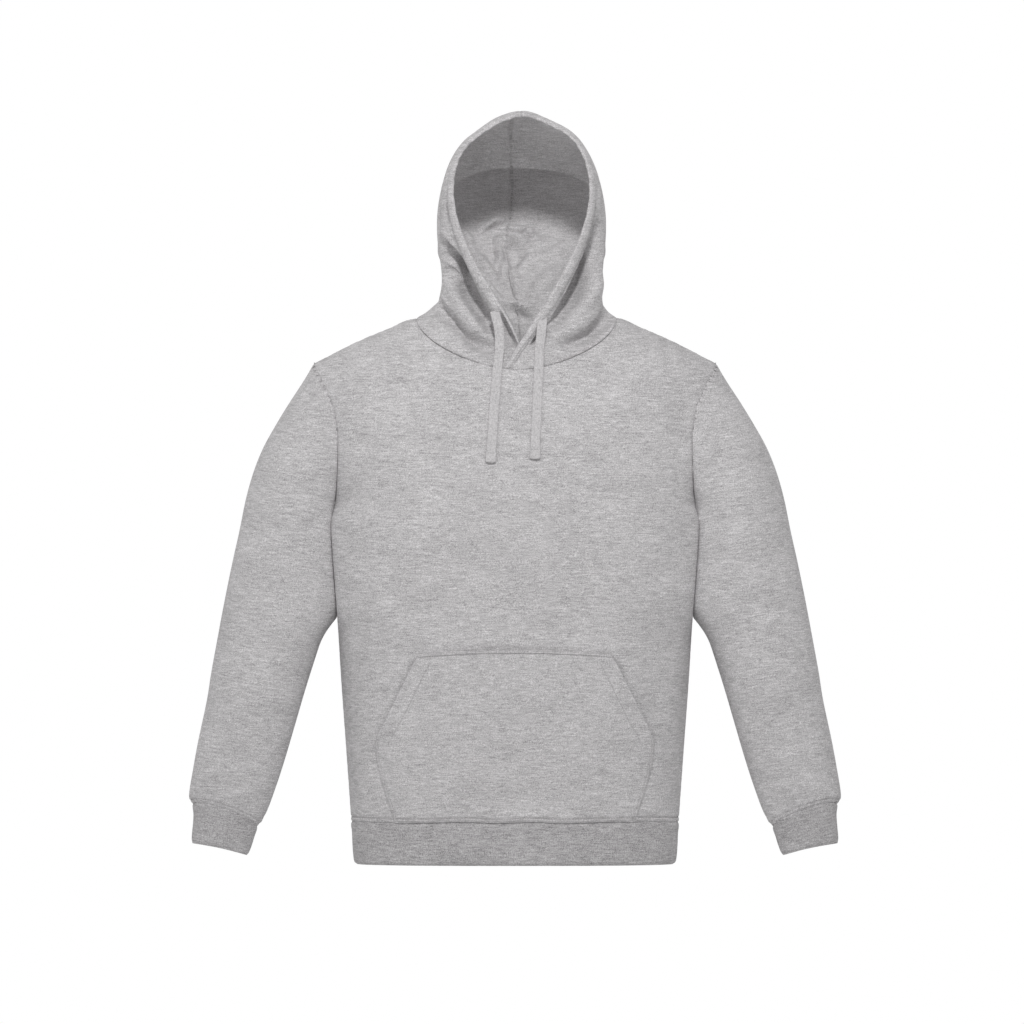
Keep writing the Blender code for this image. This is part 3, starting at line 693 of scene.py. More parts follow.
sleeve = {
    # ring, outer x, outer z, inner x, inner z, half depth, forward
    "rings": [
        (0, 261, -58, 238, -262, 60, 0), (1, 277, -84, 238.4, -266, 61.5, 0),
        (2, 294, -110, 237.6, -271.5, 62.5, 0), (3, 311, -138, 236.8, -279, 63.5, 0),
        (4, 327, -167, 236.0, -289, 64, 0), (5, 339.5, -198, 235.2, -302, 64, 1),
        (6, 349.5, -233, 234.7, -319, 63.5, 2), (7, 358, -275, 233.4, -342, 62.5, 4),
        (8, 367.5, -318, 232.6, -372, 61, 6), (9, 378, -370, 249, -410, 58, 9),
        (10, 388, -424, 264, -455, 54.5, 12), (11, 394.5, -460, 274.5, -489, 51.5, 14),
        (12, 400, -495, 284.5, -523.5, 47, 15), (13, 411, -547, 299.5, -574.5, 41, 17),
        (14, 418, -585, 311.5, -611, 35.5, 18), (15, 422.8, -617, 322.5, -640, 30, 18.5),
        (16, 418.5, -629.5, 334, -659, 26, 19),
    ],
    "columns": 96, "rows": 160, "roundness": 0.8, "blendRings": 5,
    "tilt": 6.0,  # how far the courses tilt, in degrees
    "bow": 9.0, "bowWay": (-0.2, 0.98), "bowRings": (11, 16),  # the cuff seam rides up in front
    "seamDepths": (0.4, 0.7), "foldsFade": (0.0, 0.5),
    # folds on the front of each sleeve: width, height, then the path's points in x and z
    "rightFolds": [
        (7, -4.5, 246, -252, 262, -262, 284, -266), (14, -2.0, 252, -120, 262, -170, 258, -220),
        (18, -2.5, 300, -250, 330, -290, 336, -330), (14, 2.0, 256, -330, 290, -350, 330, -352),
        (13, -2.2, 272, -400, 310, -415, 350, -405), (12, 1.8, 300, -470, 340, -486, 372, -474),
        (12, -2.0, 310, -540, 350, -556, 388, -545), (9, 2.0, 332, -596, 360, -612, 392, -604),
    ],
    "leftFolds": [
        (7, -4.5, -246, -254, -262, -266, -282, -272), (14, -2.0, -250, -116, -262, -160, -262, -206),
        (20, -2.2, -300, -230, -326, -270, -346, -320), (14, 2.0, -252, -318, -286, -336, -320, -334),
        (13, -2.0, -270, -420, -306, -432, -352, -420), (12, 1.8, -296, -490, -330, -502, -368, -496),
        (11, -2.0, -316, -556, -350, -570, -386, -560), (9, 2.0, -330, -604, -356, -618, -388, -610),
    ],
    # the same on the back of both, with x taken outwards
    "backFolds": [
        (9, -4.0, 246, -240, 266, -262, 290, -276), (16, -2.4, 262, -150, 290, -190, 300, -236),
        (15, -3.0, 262, -360, 310, -380, 352, -366), (11, 2.6, 272, -396, 312, -412, 356, -398),
        (12, -2.6, 280, -440, 320, -452, 366, -440), (13, -2.2, 306, -520, 346, -538, 386, -530),
        (9, 2.0, 330, -598, 362, -612, 396, -604),
    ],
}
cuff = {
    "rings": [
        (0, 418.5, -629.5, 334, -659, 26, 19), (1, 417.3, -642, 337.5, -669, 25, 19),
        (2, 418.2, -657, 341.2, -681, 24.5, 19), (3, 419.6, -673, 345, -691.5, 23.5, 19),
        (4, 418.6, -680.5, 348, -696, 21.5, 19),
    ],
    "columns": 110, "rows": 34, "hollow": 2.0, "tilt": 12.0, "wave": (0.35, 13.0, 14.0),
}


def seamBow(turn, hand, weight):
    rise, (out, up) = np.maximum(np.sin(turn), 0) * sleeve["bow"] * weight, sleeve["bowWay"]
    return np.stack([hand * out * rise, 0 * rise, up * rise], axis=-1)


def ringPoint(rings, ring, turn, hand):  # turn runs from the inner side over the front to the outer side
    ring, turn = np.broadcast_arrays(np.asarray(ring, float), np.asarray(turn, float))
    outerX, outerZ, innerX, innerZ, half, forward = throughAll(rings, ring)
    out = -np.cos(turn) / 2
    x = (outerX + innerX) / 2 + (outerX - innerX) * out
    z = (outerZ + innerZ) / 2 + (outerZ - innerZ) * out
    full = np.sign(np.sin(turn)) * np.abs(np.sin(turn)) ** sleeve["roundness"]
    return np.stack([hand * x, -half * full - forward, z], axis=-1)


def armholePoint(turn, hand):
    inFront = turn <= np.pi
    angle = np.where(inFront, turn, 2 * np.pi - turn)
    step = body["lowerRows"] + body["armholeRows"] * angle / np.pi
    points = np.where(inFront[..., None], bodyPoint(-1, hand, step), bodyPoint(1, hand, step))
    points[..., 1] = np.where(np.abs(np.sin(turn)) < 1e-6, 0.0, points[..., 1])
    return points


def sleeveSheet(hand):
    rings, last = sleeve["rings"], sleeve["rings"][-1][0]
    turn = evenOut(lambda t: ringPoint(rings, 5.0, t, hand), 0, 2 * np.pi, spread(sleeve["columns"]))
    ring = evenOut(lambda r: ringPoint(rings, r, np.pi / 2, hand), 0, last, spread(sleeve["rows"], 0.7))
    points = ringPoint(rings, ring[None, :], turn[:, None], hand)
    start = armholePoint(turn, hand) - ringPoint(rings, 0.0, turn, hand)
    fade = 1 - ease(0, sleeve["blendRings"], ring)
    points = points + start[:, None, :] * fade[None, :, None]
    x, z = np.abs(points[:, :, 0]), points[:, :, 2]
    inner = ease(0, 1, np.cos(turn[:, None]))
    points[:, :, 0] = hand * np.maximum(x - body["pressIn"] * pressed(z) * inner, np.minimum(x, edgeX(z)))
    return points + seamBow(turn[:, None], hand, ease(*sleeve["bowRings"], ring[None, :]))


def dressSleeve(hand):
    points = sleeveSheet(hand)
    normal = outwards(points, (hand, 0, 0), closed=True)
    u, v = measure(points)
    end = v[:, -1:] - v
    front = creases(points[:, :, 0], points[:, :, 2], sleeve["rightFolds" if hand > 0 else "leftFolds"])
    behind = creases(np.abs(points[:, :, 0]), points[:, :, 2], sleeve["backFolds"])
    fade = sleeve["foldsFade"]
    relief = front * ease(*fade, -normal[:, :, 1]) + behind * ease(*fade, normal[:, :, 1])
    for edge, depth in zip((v, end), sleeve["seamDepths"]):
        relief = relief * ease(0, seam["smooth"], edge) + seamRoll(edge, depth)
    relief += pucker(v, u, 0.15) + pucker(end, u, 0.5, 9.0, 16.0) - groove(end, "sleeve")
    relief[-1] = relief[0]
    return raised(points, normal, relief)


def dressCuff(hand):
    turn = evenOut(lambda t: ringPoint(cuff["rings"], 1.0, t, hand), 0, 2 * np.pi, spread(cuff["columns"]))
    last = cuff["rings"][-1][0]
    ring = spread(cuff["rows"], 0.5) * last
    points = ringPoint(cuff["rings"], ring[None, :], turn[:, None], hand)
    points = points + seamBow(turn[:, None], hand, 1 - ease(0, 3, ring[None, :]))
    normal = outwards(points, (hand, 0, 0), closed=True)
    u, v = measure(points)
    height, around, down = cuff["wave"]
    wave = height * np.sin(u / around) * np.sin(v / down)
    relief = seamRoll(v, 1.0, 1.8, 0.3) + pucker(v, u, 0.4, 9.0, 8.0) + wave
    relief[-1] = relief[0]
    points = raised(points, normal, relief)
    points[:, :, 2] += cuff["hollow"] * (np.sin(turn) ** 2)[:, None] * ease(0.5, 1, ring / last)[None, :]
    return points


hands = (("left", -1), ("right", 1))
sleeveSheets = {side: dressSleeve(hand) for side, hand in hands}
for side, hand in hands:
    way = (hand, 0, 0)
    folded = turnIn(sleeveSheets[side], way, ("bottom", "top"), True, 0.8)
    clothPiece(side + "SleeveCloth", "sleeve_" + side, folded, way, bodyCloth, closed=True,
               tilt=-hand * sleeve["tilt"])
    folded = turnIn(dressCuff(hand), way, ("bottom",), True)
    clothPiece(side + "CuffRib", "cuff_" + side, folded, way, ribCloth, closed=True, tilt=-hand * cuff["tilt"])
print("sleeves and cuffs made")


# Hem band

hem = {
    # height, how far it has drawn in
    "rows": [(-652.3, 0), (-668, 0.6), (-685, 1.3), (-697, 2.2), (-705.5, 4), (-708.5, 8)],
    "seam": -652.3, "bottom": -708, "columns": 360, "steps": 36, "wave": (0.5, 27.0, 0.8, 61.0, 56),
}


def hemPoint(place, height):  # place runs from 0 to 1 across the front and from 1 to 2 across the back
    place, height = np.broadcast_arrays(np.asarray(place, float), np.asarray(height, float))
    across = np.where(place <= 1, 2 * place - 1, 3 - 2 * place)
    side = np.where(place <= 1, -1.0, 1.0)
    drawn = through(hem["rows"][::-1], height, 1)
    depth = np.where(place <= 1, bodyDepth(-1, body["hemSeam"]), bodyDepth(1, body["hemSeam"])) - drawn
    half = float(edgeX(body["hemSeam"])) - drawn
    return np.stack([across * half, side * depth * squircle(across, body["squareness"]), height], axis=-1)


def dressHem():
    level = evenOut(lambda h: hemPoint(0.5, h), hem["seam"], hem["bottom"], spread(hem["steps"], 0.4))
    place = evenOut(lambda p: hemPoint(p, hem["seam"]), 0, 2, spread(hem["columns"]))
    points = hemPoint(place[:, None], level[None, :])
    normal = outwards(points, (1, 0, 0), closed=True)
    u, v = measure(points)
    points[:, :, 2] += hemWave(points[:, :, 0], v)
    height, short, mix, long, tall = hem["wave"]
    wave = height * np.sin(u / short + mix * np.sin(u / long)) * np.sin(np.pi * np.clip(v / tall, 0, 1))
    relief = seamRoll(v, 1.3, 2.2, 0.6) + pucker(v, u, 0.35, 12.0, 9.0) + wave
    relief[-1] = relief[0]
    return raised(points, normal, relief)


folded = turnIn(dressHem(), (1, 0, 0), ("bottom",), True)
clothPiece("hemRib", "hem_band", folded, (1, 0, 0), ribCloth, closed=True)
print("hem band made")


# Pocket cloth

def dressPocket():
    table = np.array(pocket["outline"], float)
    low, high, opens = table[0, 0], table[-1, 0], pocket["openFrom"]
    lower = low + (opens - low) * spread(pocket["rows"][0], 0.6, "start")
    upper = opens + (high - opens) * spread(pocket["rows"][1], 0.6, "end")[1:]
    height = np.concatenate([lower, upper])
    across = spread(pocket["columns"], 0.7) * 2 - 1
    half = np.interp(height, table[:, 0], table[:, 1])
    x = across[:, None] * half[None, :]
    bowed = pocket["bow"] * (1 - across[:, None] ** 2) * ease(pocket["bowFrom"], high, height)[None, :]
    z = height[None, :] + bowed
    step = (z - body["hemSeam"]) / (body["underarm"] - body["hemSeam"]) * body["lowerRows"]
    base = bodyPoint(-1, x / edgeX(z), step)
    normal = outwards(base, (0, -1, 0))
    u, v = measure(base)
    facing = ease(*body["foldsFade"], -normal[:, :, 1])
    panel = creases(base[:, :, 0], base[:, :, 2], body["frontFolds"]) * facing * ease(0, seam["smooth"], v)
    top, side = v[:, -1:] - v, np.minimum(u - u[0], u[-1] - u)
    opening = ease(opens - 2, opens + 14, base[:, :, 2]) * ease(1, 14, top)
    (fuller, inwards), (gape, gapeWidth) = pocket["fuller"], pocket["gape"]
    (topDip, topWidth), (sideDip, sideWidth) = pocket["sewnTop"], pocket["sewnSide"]
    lift = pocket["lift"] + fuller * ease(0, inwards, side) + gape * opening * bell(side, gapeWidth)
    lift -= topDip * bell(top, topWidth) + sideDip * (1 - opening) * bell(side, sideWidth)
    lift -= groove(top, "pocketTop") + (1 - opening) * groove(side, "pocketSide")
    lift -= opening * groove(side, "pocketOpening")
    lift = lift * ease(-6, 8, v) + pucker(top, u, 0.25, 8.0, 6.0) * ease(0, 3, top) - groove(v, "hem")
    lift = np.maximum(lift + seamRoll(v, 1.0, 2.0, 0.2) + creases(x, z, pocket["folds"]), pocket["least"])
    base[:, :, 2] += hemWave(base[:, :, 0], v)
    return raised(base, normal, panel + lift)


pocketSheet, pocketWay = dressPocket(), (0, -1, 0)
folded = pocketSheet
for edge in ("left", "right"):
    folded = rollEdge(folded, pocketWay, edge, pocket["edgeRadius"])
folded = turnIn(folded, pocketWay, ("bottom", "top"))
clothPiece("pocketCloth", "pocket", folded, pocketWay, bodyCloth, thick=pocket["thick"])
print("pocket made")


# Hood

hood = {
    # angle round the neck: half width, widest y, widest z, crown y, crown z, squareness
    "sections": [
        (-7.5, 90, -66, 165, -72, 262, 2.15), (-2.5, 101, -46, 150, -48, 268, 2.1),
        (45, 108, -22, 132, -18, 261, 2.1), (75, 110, 5, 120, 12, 240, 2.3),
        (90, 110, 22, 118, 30, 214, 2.5), (97.5, 110, 32, 117, 39, 199, 2.6),
        (105, 109.5, 42, 116, 48, 204, 2.5), (120, 107, 60, 115, 66, 213, 2.3),
        (135, 99, 80, 112, 88, 207, 2.2), (150, 83, 99, 108, 108, 187, 2.1),
        (165, 56, 115, 104, 122, 162, 2.0), (172.5, 33, 121, 102, 126.5, 150, 2.0),
        (180, 0, 125, 100, 128, 130, 2.0),
    ],
    # angle: how it leaves the neck seam outwards, backwards, upwards, and how fast it reaches its widest
    "flare": [
        (-7.5, 92, 0, 190, 230), (0, 84, 0, 180, 220), (30, 20, 0, 150, 180), (60, -60, 0, 95, 140),
        (90, -125, 0, 60, 130), (120, -90, 10, 60, 130), (150, -30, 20, 70, 130), (180, 0, 25, 80, 130),
    ],
    "columns": 150, "rows": 150, "lean": 4.5,
    # the left half lies under the right one at the V: how deep, and where that fades out
    "under": 6.5, "overlapAngle": (7.5, 34), "overlapHeight": (0.30, 0.66),
    "drawnIn": (3.2, 52, 34),  # the left side draws in a little: how far, at which height, over how much
    # the casing at the rim: width low down and high up, where it widens, how far it stands out, its rolled edge
    "casing": (9.5, 15, 20, 120), "casingRise": 2.6, "rimRoll": (1.5, 2.3), "rimHem": (3, 6, 9, 12, 15),
    # the crown hangs a little lower on both sides of its peak: across, down
    "crown": [
        (-92, 0), (-80, -1), (-66, -3), (-52, -6), (-36, -6), (-20, -3.5), (0, -0.4), (13, 0.4), (26, -1),
        (40, -3.5), (54, -3.8), (68, -2), (84, 0), (96, 0),
    ],
    # the cloth slumps behind the neck: distance from the seam, down, forward, and both again for the middle
    "slump": [
        (0, 0, 0, 0, 0), (6, -1, 1, 0, 1), (12, 3, 6, 4, 3), (20, 32, 13, 16, 9), (30, 50, 20, 28, 19),
        (44, 50, 28, 26, 30), (62, 34, 29, 13, 36), (84, 14, 21, 4, 31), (108, 3, 8, 1, 18),
        (130, 0, 0, 0, 7), (155, 0, 0, 0, 0), (400, 0, 0, 0, 0),
    ],
    "slumpTo": 155, "slumpSides": (110, 150), "slumpMiddle": (150, 170),
    # how squarely the cloth has to face each way before its folds show, and where they start and end
    "toFront": (0.0, 0.35), "toSide": (0.3, 0.7), "toBack": (0.0, 0.5), "up": (0.1, 0.5),
    "outsideFrom": (-8, 30), "insideFrom": (10, 40), "ceilingFrom": (16, 30), "ceilingTo": (20, 44),
    "driftReach": 48.0, "driftFrom": (14, 40),
    # the centre seam wanders: height, sideways
    "seamDrift": [
        (-40, 0), (20, -6), (60, -14), (95, -20), (130, -16), (170, -12), (200, -13), (250, -14), (280, -6),
    ],
    # folds outside, seen from the front: width, height, then the path's points in x and z
    "outsideLeft": [
        (4, -5.0, -90, 160, -89.5, 139, -89, 116), (3.5, 5.0, -99, 119, -84, 97, -70, 75),
        (4, -9.0, -98, 106, -87, 92, -76, 78), (2.8, 5.5, -96, 98, -85, 85, -74, 71),
        (6, -14.0, -95, 88, -82, 74, -68, 60), (3, 7.5, -94, 79, -84, 65, -76, 50),
        (6, -15.0, -93, 68, -84, 54, -76, 40),
        (9, -34.0, -90, 96, -76, 62, -64, 38, -48, 13, -34, -8, -24, -26),
        (8, 6.0, -84, 46, -66, 20, -48, -7, -32, -26), (3, 4.0, -100, 31, -91, 20, -84, 8),
        (9, -24.0, -104, 30, -95, 10, -82, -7, -62, -21, -38, -36, -18, -46),
    ],
    "outsideRight": [
        (10, -34.0, 114, 132, 105, 82, 90, 52, 75, 29, 60, 9, 40, -14),
        (9, 5.0, 119, 80, 111, 46, 96, 20, 78, 0),
        (10, -21.0, 130, 16, 118, -6, 103, -20, 84, -29, 54, -38), (6, -19.0, 40, -4, 24, -24, 4, -42),
        (3.5, 4.0, 30, -29, 12, -43, -4, -58), (6, -5.0, 108, 178, 106, 150, 106, 124),
    ],
    # beside the V the under half turns away below its edge, casing and all
    "twist": [(7, -15.0, -22, 8, -11, -17, 0, -44)],
    # folds inside the back wall, seen through the face opening; minus comes towards the viewer
    "inside": [
        (5, -9.0, -44, 116, -18, 130, 6, 134), (4, 3.0, -30, 124, -4, 115, 22, 101),
        (4, -7.0, 2, 122, 28, 118, 46, 100), (7.2, -13.0, -14, 104, 14, 101, 42, 90),
        (6.4, 3.6, 32, 102, 20, 80, 8, 60), (6.4, 3.6, -64, 98, -41, 80, -18, 56),
        (8, -13.0, -56, 90, -34, 70, -14, 44), (6.4, 3.6, -42, 62, -18, 38, 0, 17),
        (6.4, -10.2, -48, 58, -26, 36, -8, 12), (4.8, -10.2, 30, 8, 7, 18, -14, 24),
        (4.8, 3.6, 32, -6, 8, 6, -12, 11), (6.4, 3.6, 66, 82, 43, 51, 22, 22),
        (8, -11.6, 60, 66, 39, 42, 20, 12), (4.8, 3.0, -15, 100, -6, 70, 3, 44, 4, 14),
        (8, -11.6, 56, 110, 44, 92, 22, 82), (8, -7.2, 6, 70, 14, 50, 12, 28),
        (6.4, 3.6, -38, 34, -22, 14, -10, -4), (8, -8.7, 78, 104, 62, 86, 48, 62),
        (5, -7.0, -72, 120, -58, 106, -50, 84), (5.5, -11.0, 46, 124, 31, 108, 15, 88),
        (5, -10.0, -4, 98, -2, 80, -14, 62), (6, -11.0, 18, 58, 34, 74, 58, 84),
    ],
    # folds in the ceiling, seen from the front; minus hangs down
    "ceiling": [
        (4, -11.0, -36, 230, -3, 225, 20, 220, 46, 213, 58, 197), (4, -11.0, -56, 194, -38, 211, -22, 223),
        (4.5, 5.0, -26, 205, 14, 203, 50, 196), (6, 6.0, -72, 200, -52, 222, -24, 241),
        (5, -7.0, 60, 216, 66, 198, 79, 180),
    ],
    # where the ceiling turns down into the back wall it hangs over in a loose fold
    "overhang": [
        (3.8, -8.0, -90, 160, -80, 173, -66, 187, -52, 195, -23, 196, 22, 192, 43, 190, 57, 186, 73, 178,
         91, 166, 100, 150),
    ],
    # folds at the back and on the sides, in y and z
    "sides": [
        (10, -4.0, 20, 60, 50, 50, 88, 60), (9, -3.5, -20, 20, 10, 30, 44, 28),
        (10, 2.5, 10, 90, 44, 84, 80, 96), (12, -3.0, -30, 90, -20, 130, -26, 170),
        (12, 2.5, 60, 120, 72, 150, 66, 180),
    ],
}


def neckPoint(angle, hand):  # the neck seam by the angle round it from the front
    step = body["lowerRows"] + body["armholeRows"]
    across = hand * neckShare() * (1 - 1e-9) * np.sin(np.radians(angle))
    return np.where((angle <= 90)[..., None], bodyPoint(-1, across, step), bodyPoint(1, across, step))


def hoodPoint(angle, climb, hand):  # climb is 0 at the neck, 1 at the widest, 2 at the crown
    angle, climb = np.broadcast_arrays(np.asarray(angle, float), np.asarray(climb, float))
    width, wideY, wideZ, crownY, crownZ, power = throughAll(hood["sections"], angle)
    leaveOut, leaveBack, leaveUp, arrive = throughAll(hood["flare"], angle)
    width = np.maximum(width, 0)
    base = neckPoint(angle, hand)
    lean = body["neckShift"] + hood["lean"] * ease(0, 0.5, climb)
    rise = np.clip(climb, 0, 1)
    sideLow = hermite(hand * (base[..., 0] - body["neckShift"]), width, leaveOut, 0, rise)
    yLow = hermite(base[..., 1], wideY, leaveBack, 0, rise)
    zLow = hermite(base[..., 2], wideZ, leaveUp, arrive, rise)
    turn = np.pi / 2 * np.clip(climb - 1, 0, 1)
    sideHigh = width * np.maximum(np.cos(turn), 0) ** (2 / power)
    yHigh = wideY + (crownY - wideY) * np.sin(turn) ** 2
    zHigh = wideZ + (crownZ - wideZ) * np.sin(turn) ** (2 / power)
    low = np.stack([hand * sideLow + lean, yLow, zLow], axis=-1)
    high = np.stack([hand * sideHigh + lean, yHigh, zHigh], axis=-1)
    return np.where((climb <= 1)[..., None], low, high)


def hoodSheet(angles, climbs, hand, under):  # the half hood before its folds, and where it still stood upright
    points = hoodPoint(angles, climbs, hand)
    if under:
        tuck = (1 - ease(*hood["overlapAngle"], angles)) * (1 - ease(*hood["overlapHeight"], climbs))
        tuck = tuck * ease(0, 0.08, climbs)
        points = raised(points, outwards(points, (hand, 0, 0)), -hood["under"] * tuck)
    u, v = measure(points)
    drop = through(hood["crown"], np.clip(points[:, :, 0], hood["crown"][0][0], hood["crown"][-1][0]), 1)
    points[:, :, 2] += drop * ease(1.0, 1.5, climbs) * (1 - ease(0, 40, points[:, :, 1]))
    if under:
        amount, height, reach = hood["drawnIn"]
        points[:, :, 0] += amount * bell(points[:, :, 2] - height, reach) * ease(50, 90, -points[:, :, 0])
    down, forward, moreDown, moreForward = throughAll(hood["slump"], np.clip(v, 0, hood["slumpTo"]))
    behind, middle = ease(*hood["slumpSides"], angles), ease(*hood["slumpMiddle"], angles)
    points[:, :, 2] -= down * behind + moreDown * middle
    points[:, :, 1] -= forward * behind + moreForward * middle
    return points, u, v


def dressHood(hand, under):
    first = hood["sections"][0][0]
    angle = evenOut(lambda a: hoodPoint(a, 1.0, hand), first, 180, spread(hood["columns"], 0.3))
    climb = evenOut(lambda c: hoodPoint(45.0, c, hand), 0, 2, spread(hood["rows"], 0.3))
    points, u, v = hoodSheet(angle[:, None], climb[None, :], hand, under)
    normal = outwards(points, (hand, 0, 0))
    x, y, z = points[:, :, 0], points[:, :, 1], points[:, :, 2]
    toFront, toBack, toSide, up = -normal[:, :, 1], normal[:, :, 1], hand * normal[:, :, 0], normal[:, :, 2]
    rim, neck, crown = u - u[0], v, np.minimum(v[:, -1:] - v, u[-1] - u)
    low, high, start, full = hood["casing"]
    casing = low + (high - low) * ease(start, full, v)

    folds = creases(x, z, hood["outsideRight" if hand > 0 else "outsideLeft"])
    relief = folds * ease(*hood["toFront"], toFront) * ease(-1, 5, rim - casing)
    relief = relief * ease(*hood["outsideFrom"], -y)
    if not under:
        relief = relief * ease(1, 4, rim - casing)
    relief += creases(y, z, hood["sides"]) * ease(*hood["toSide"], toSide)
    relief = relief * ease(0, 10, crown)
    hollow = creases(x, z, hood["inside"]) * ease(*hood["toBack"], toBack) * ease(*hood["insideFrom"], y)
    above = ease(*hood["up"], up) * ease(*hood["ceilingFrom"], rim) * (1 - ease(*hood["ceilingTo"], y))
    hollow += (creases(x, z, hood["ceiling"]) + creases(x, z, hood["overhang"])) * above
    relief = (relief + hollow * ease(-6, 4, crown)) * ease(0, seam["smooth"], neck)
    relief += seamRoll(neck) + pucker(neck, u, 0.3)
    relief += seamRoll(crown, 1.0, 1.4, 0.4) + pucker(crown, u + v, 0.25, 8.0, 6.0)

    band = hood["casingRise"] * (1 - ((rim - 0.45 * casing) / (0.55 * casing)) ** 2)
    if under:
        band = band * (0.3 + 0.7 * ease(40, 90, neck))
        twist = creases(x, z, hood["twist"]) * ease(*hood["toFront"], toFront)
        relief += twist * ease(0, 3.5, rim) * ease(0, seam["smooth"], neck)
    relief += np.where(rim < casing, band, 0) * ease(0, 10, neck) - groove(casing - rim, "casingEdge")
    relief += pucker(rim, v, 0.35, 13.0, 15.0) - groove(casing - rim, "casing")
    shifted = raised(points, normal, relief)

    heights = hood["seamDrift"]
    drift = through(heights, np.clip(z, heights[0][0], heights[-1][0]), 1)
    nearSeam = bell(x - body["neckShift"] - hood["lean"], hood["driftReach"]) * ease(*hood["driftFrom"], rim)
    shifted[:, :, 0] += drift * nearSeam * ease(0, 30, neck) * ease(-60, -20, y)
    return shifted, casing[0]


hoodSheets, casings = {}, {}
for side, hand in hands:
    hoodSheets[side], casings[side] = dressHood(hand, under=hand < 0)
    way, (small, large) = (hand, 0, 0), hood["rimRoll"]
    radius = small + (large - small) * ease(20, 90, measure(hoodSheets[side])[1][0])
    folded = rollEdge(hoodSheets[side], way, "left", radius, lay=hood["rimHem"])
    folded = turnIn(folded, way, ("bottom", "top", "right"))
    # the hood's inside gets the lighter back cloth: partly its own paler tone, partly painted light against the
    # shade in the hood
    clothPiece(side + "HoodCloth", "hood_" + side, folded, way, bodyCloth, inner=bodyBackWithPaintedLight)
print("hood made")


# Sewing lines

def sewAll():
    def onPocket(edge, line):
        return lineOn(pocketSheet, pocketWay, edge, sewing[line][0])

    half, opens = pocket["outline"][0][1] + 3, pocket["openFrom"]
    topOfHems = pocket["outline"][-1][0] - 10.5
    frontHem = lineOn(frontSheet, frontWay, "bottom", sewing["hem"][0])
    sew("frontHemStitches", [frontHem], lambda p: abs(p[0]) > half)
    sew("backHemStitches", [lineOn(backSheet, backWay, "bottom", sewing["hem"][0])])
    lines = [onPocket("bottom", "hem"), onPocket("top", "pocketTop"), onPocket("top", "pocketEdge")]
    sew("pocketStitches", lines)
    sides = [onPocket(edge, "pocketSide") for edge in ("left", "right")]
    hems = [onPocket(edge, "pocketOpening") for edge in ("left", "right")]
    sew("pocketSideStitches", sides, lambda p: p[2] < opens + 4)
    sew("pocketHemStitches", hems, lambda p: opens - 4 < p[2] < topOfHems)
    for side, hand in hands:
        way = (hand, 0, 0)
        sleeveLine = lineOn(sleeveSheets[side], way, "top", sewing["sleeve"][0], closed=True)
        sew(side + "SleeveStitches", [sleeveLine])
        casingLine = lineOn(hoodSheets[side], way, "left", casings[side] - sewing["casing"][0])
        sew(side + "CasingStitches", [casingLine])


sewAll()
print("sewing made")


# Drawcords: flat woven cord, each end folded back and sewn

drawcord = {
    "width": 12.4, "thick": 2.2, "endWidth": 13.6, "endThick": 3.4, "endLength": 14, "tipRound": 1.8,
    "rows": 260, "columns": 20, "squareness": 3.0,
    # the sewn line of the end: how far below its start, how deep, how wide, half its length, its stitches
    "seamIn": 1.2, "seamDepth": 2.1, "seamWidth": 1.2, "seamHalf": 7.5, "stitchHeight": 0.6,
    # x, y, z from the casing to the tip
    "left": [
        (-26, -68, 8), (-24.5, -74.5, 1), (-22.3, -79.8, -7), (-20.8, -81.5, -15), (-20, -81.3, -24),
        (-20, -81.8, -40), (-21.5, -83.6, -55), (-23, -86.2, -69), (-24.5, -91.4, -90),
        (-26.5, -96.1, -112), (-28, -100.5, -134), (-29.5, -104.9, -157), (-30, -106.2, -162),
        (-31, -108.6, -179), (-31.5, -109.5, -187.5),
    ],
    "right": [
        (34.5, -70, 6), (35.2, -76, -1), (35, -81, -8), (34.4, -82.6, -15), (33.5, -82.2, -24),
        (31.5, -83.2, -40), (31, -84.6, -55), (30.5, -86.4, -69), (29.5, -91.4, -90), (28.5, -96.1, -112),
        (27.5, -100.5, -134), (26.5, -104.9, -157), (26.3, -106.2, -162), (26, -108.6, -179),
        (25.9, -109.0, -183),
    ],
}


def smoothRoute(route, count):
    knots = np.array(route, float)
    rows = np.column_stack([runOf(knots), knots])
    at = np.linspace(0, rows[-1, 0], count)
    return np.stack(throughAll(rows, at), axis=1), at


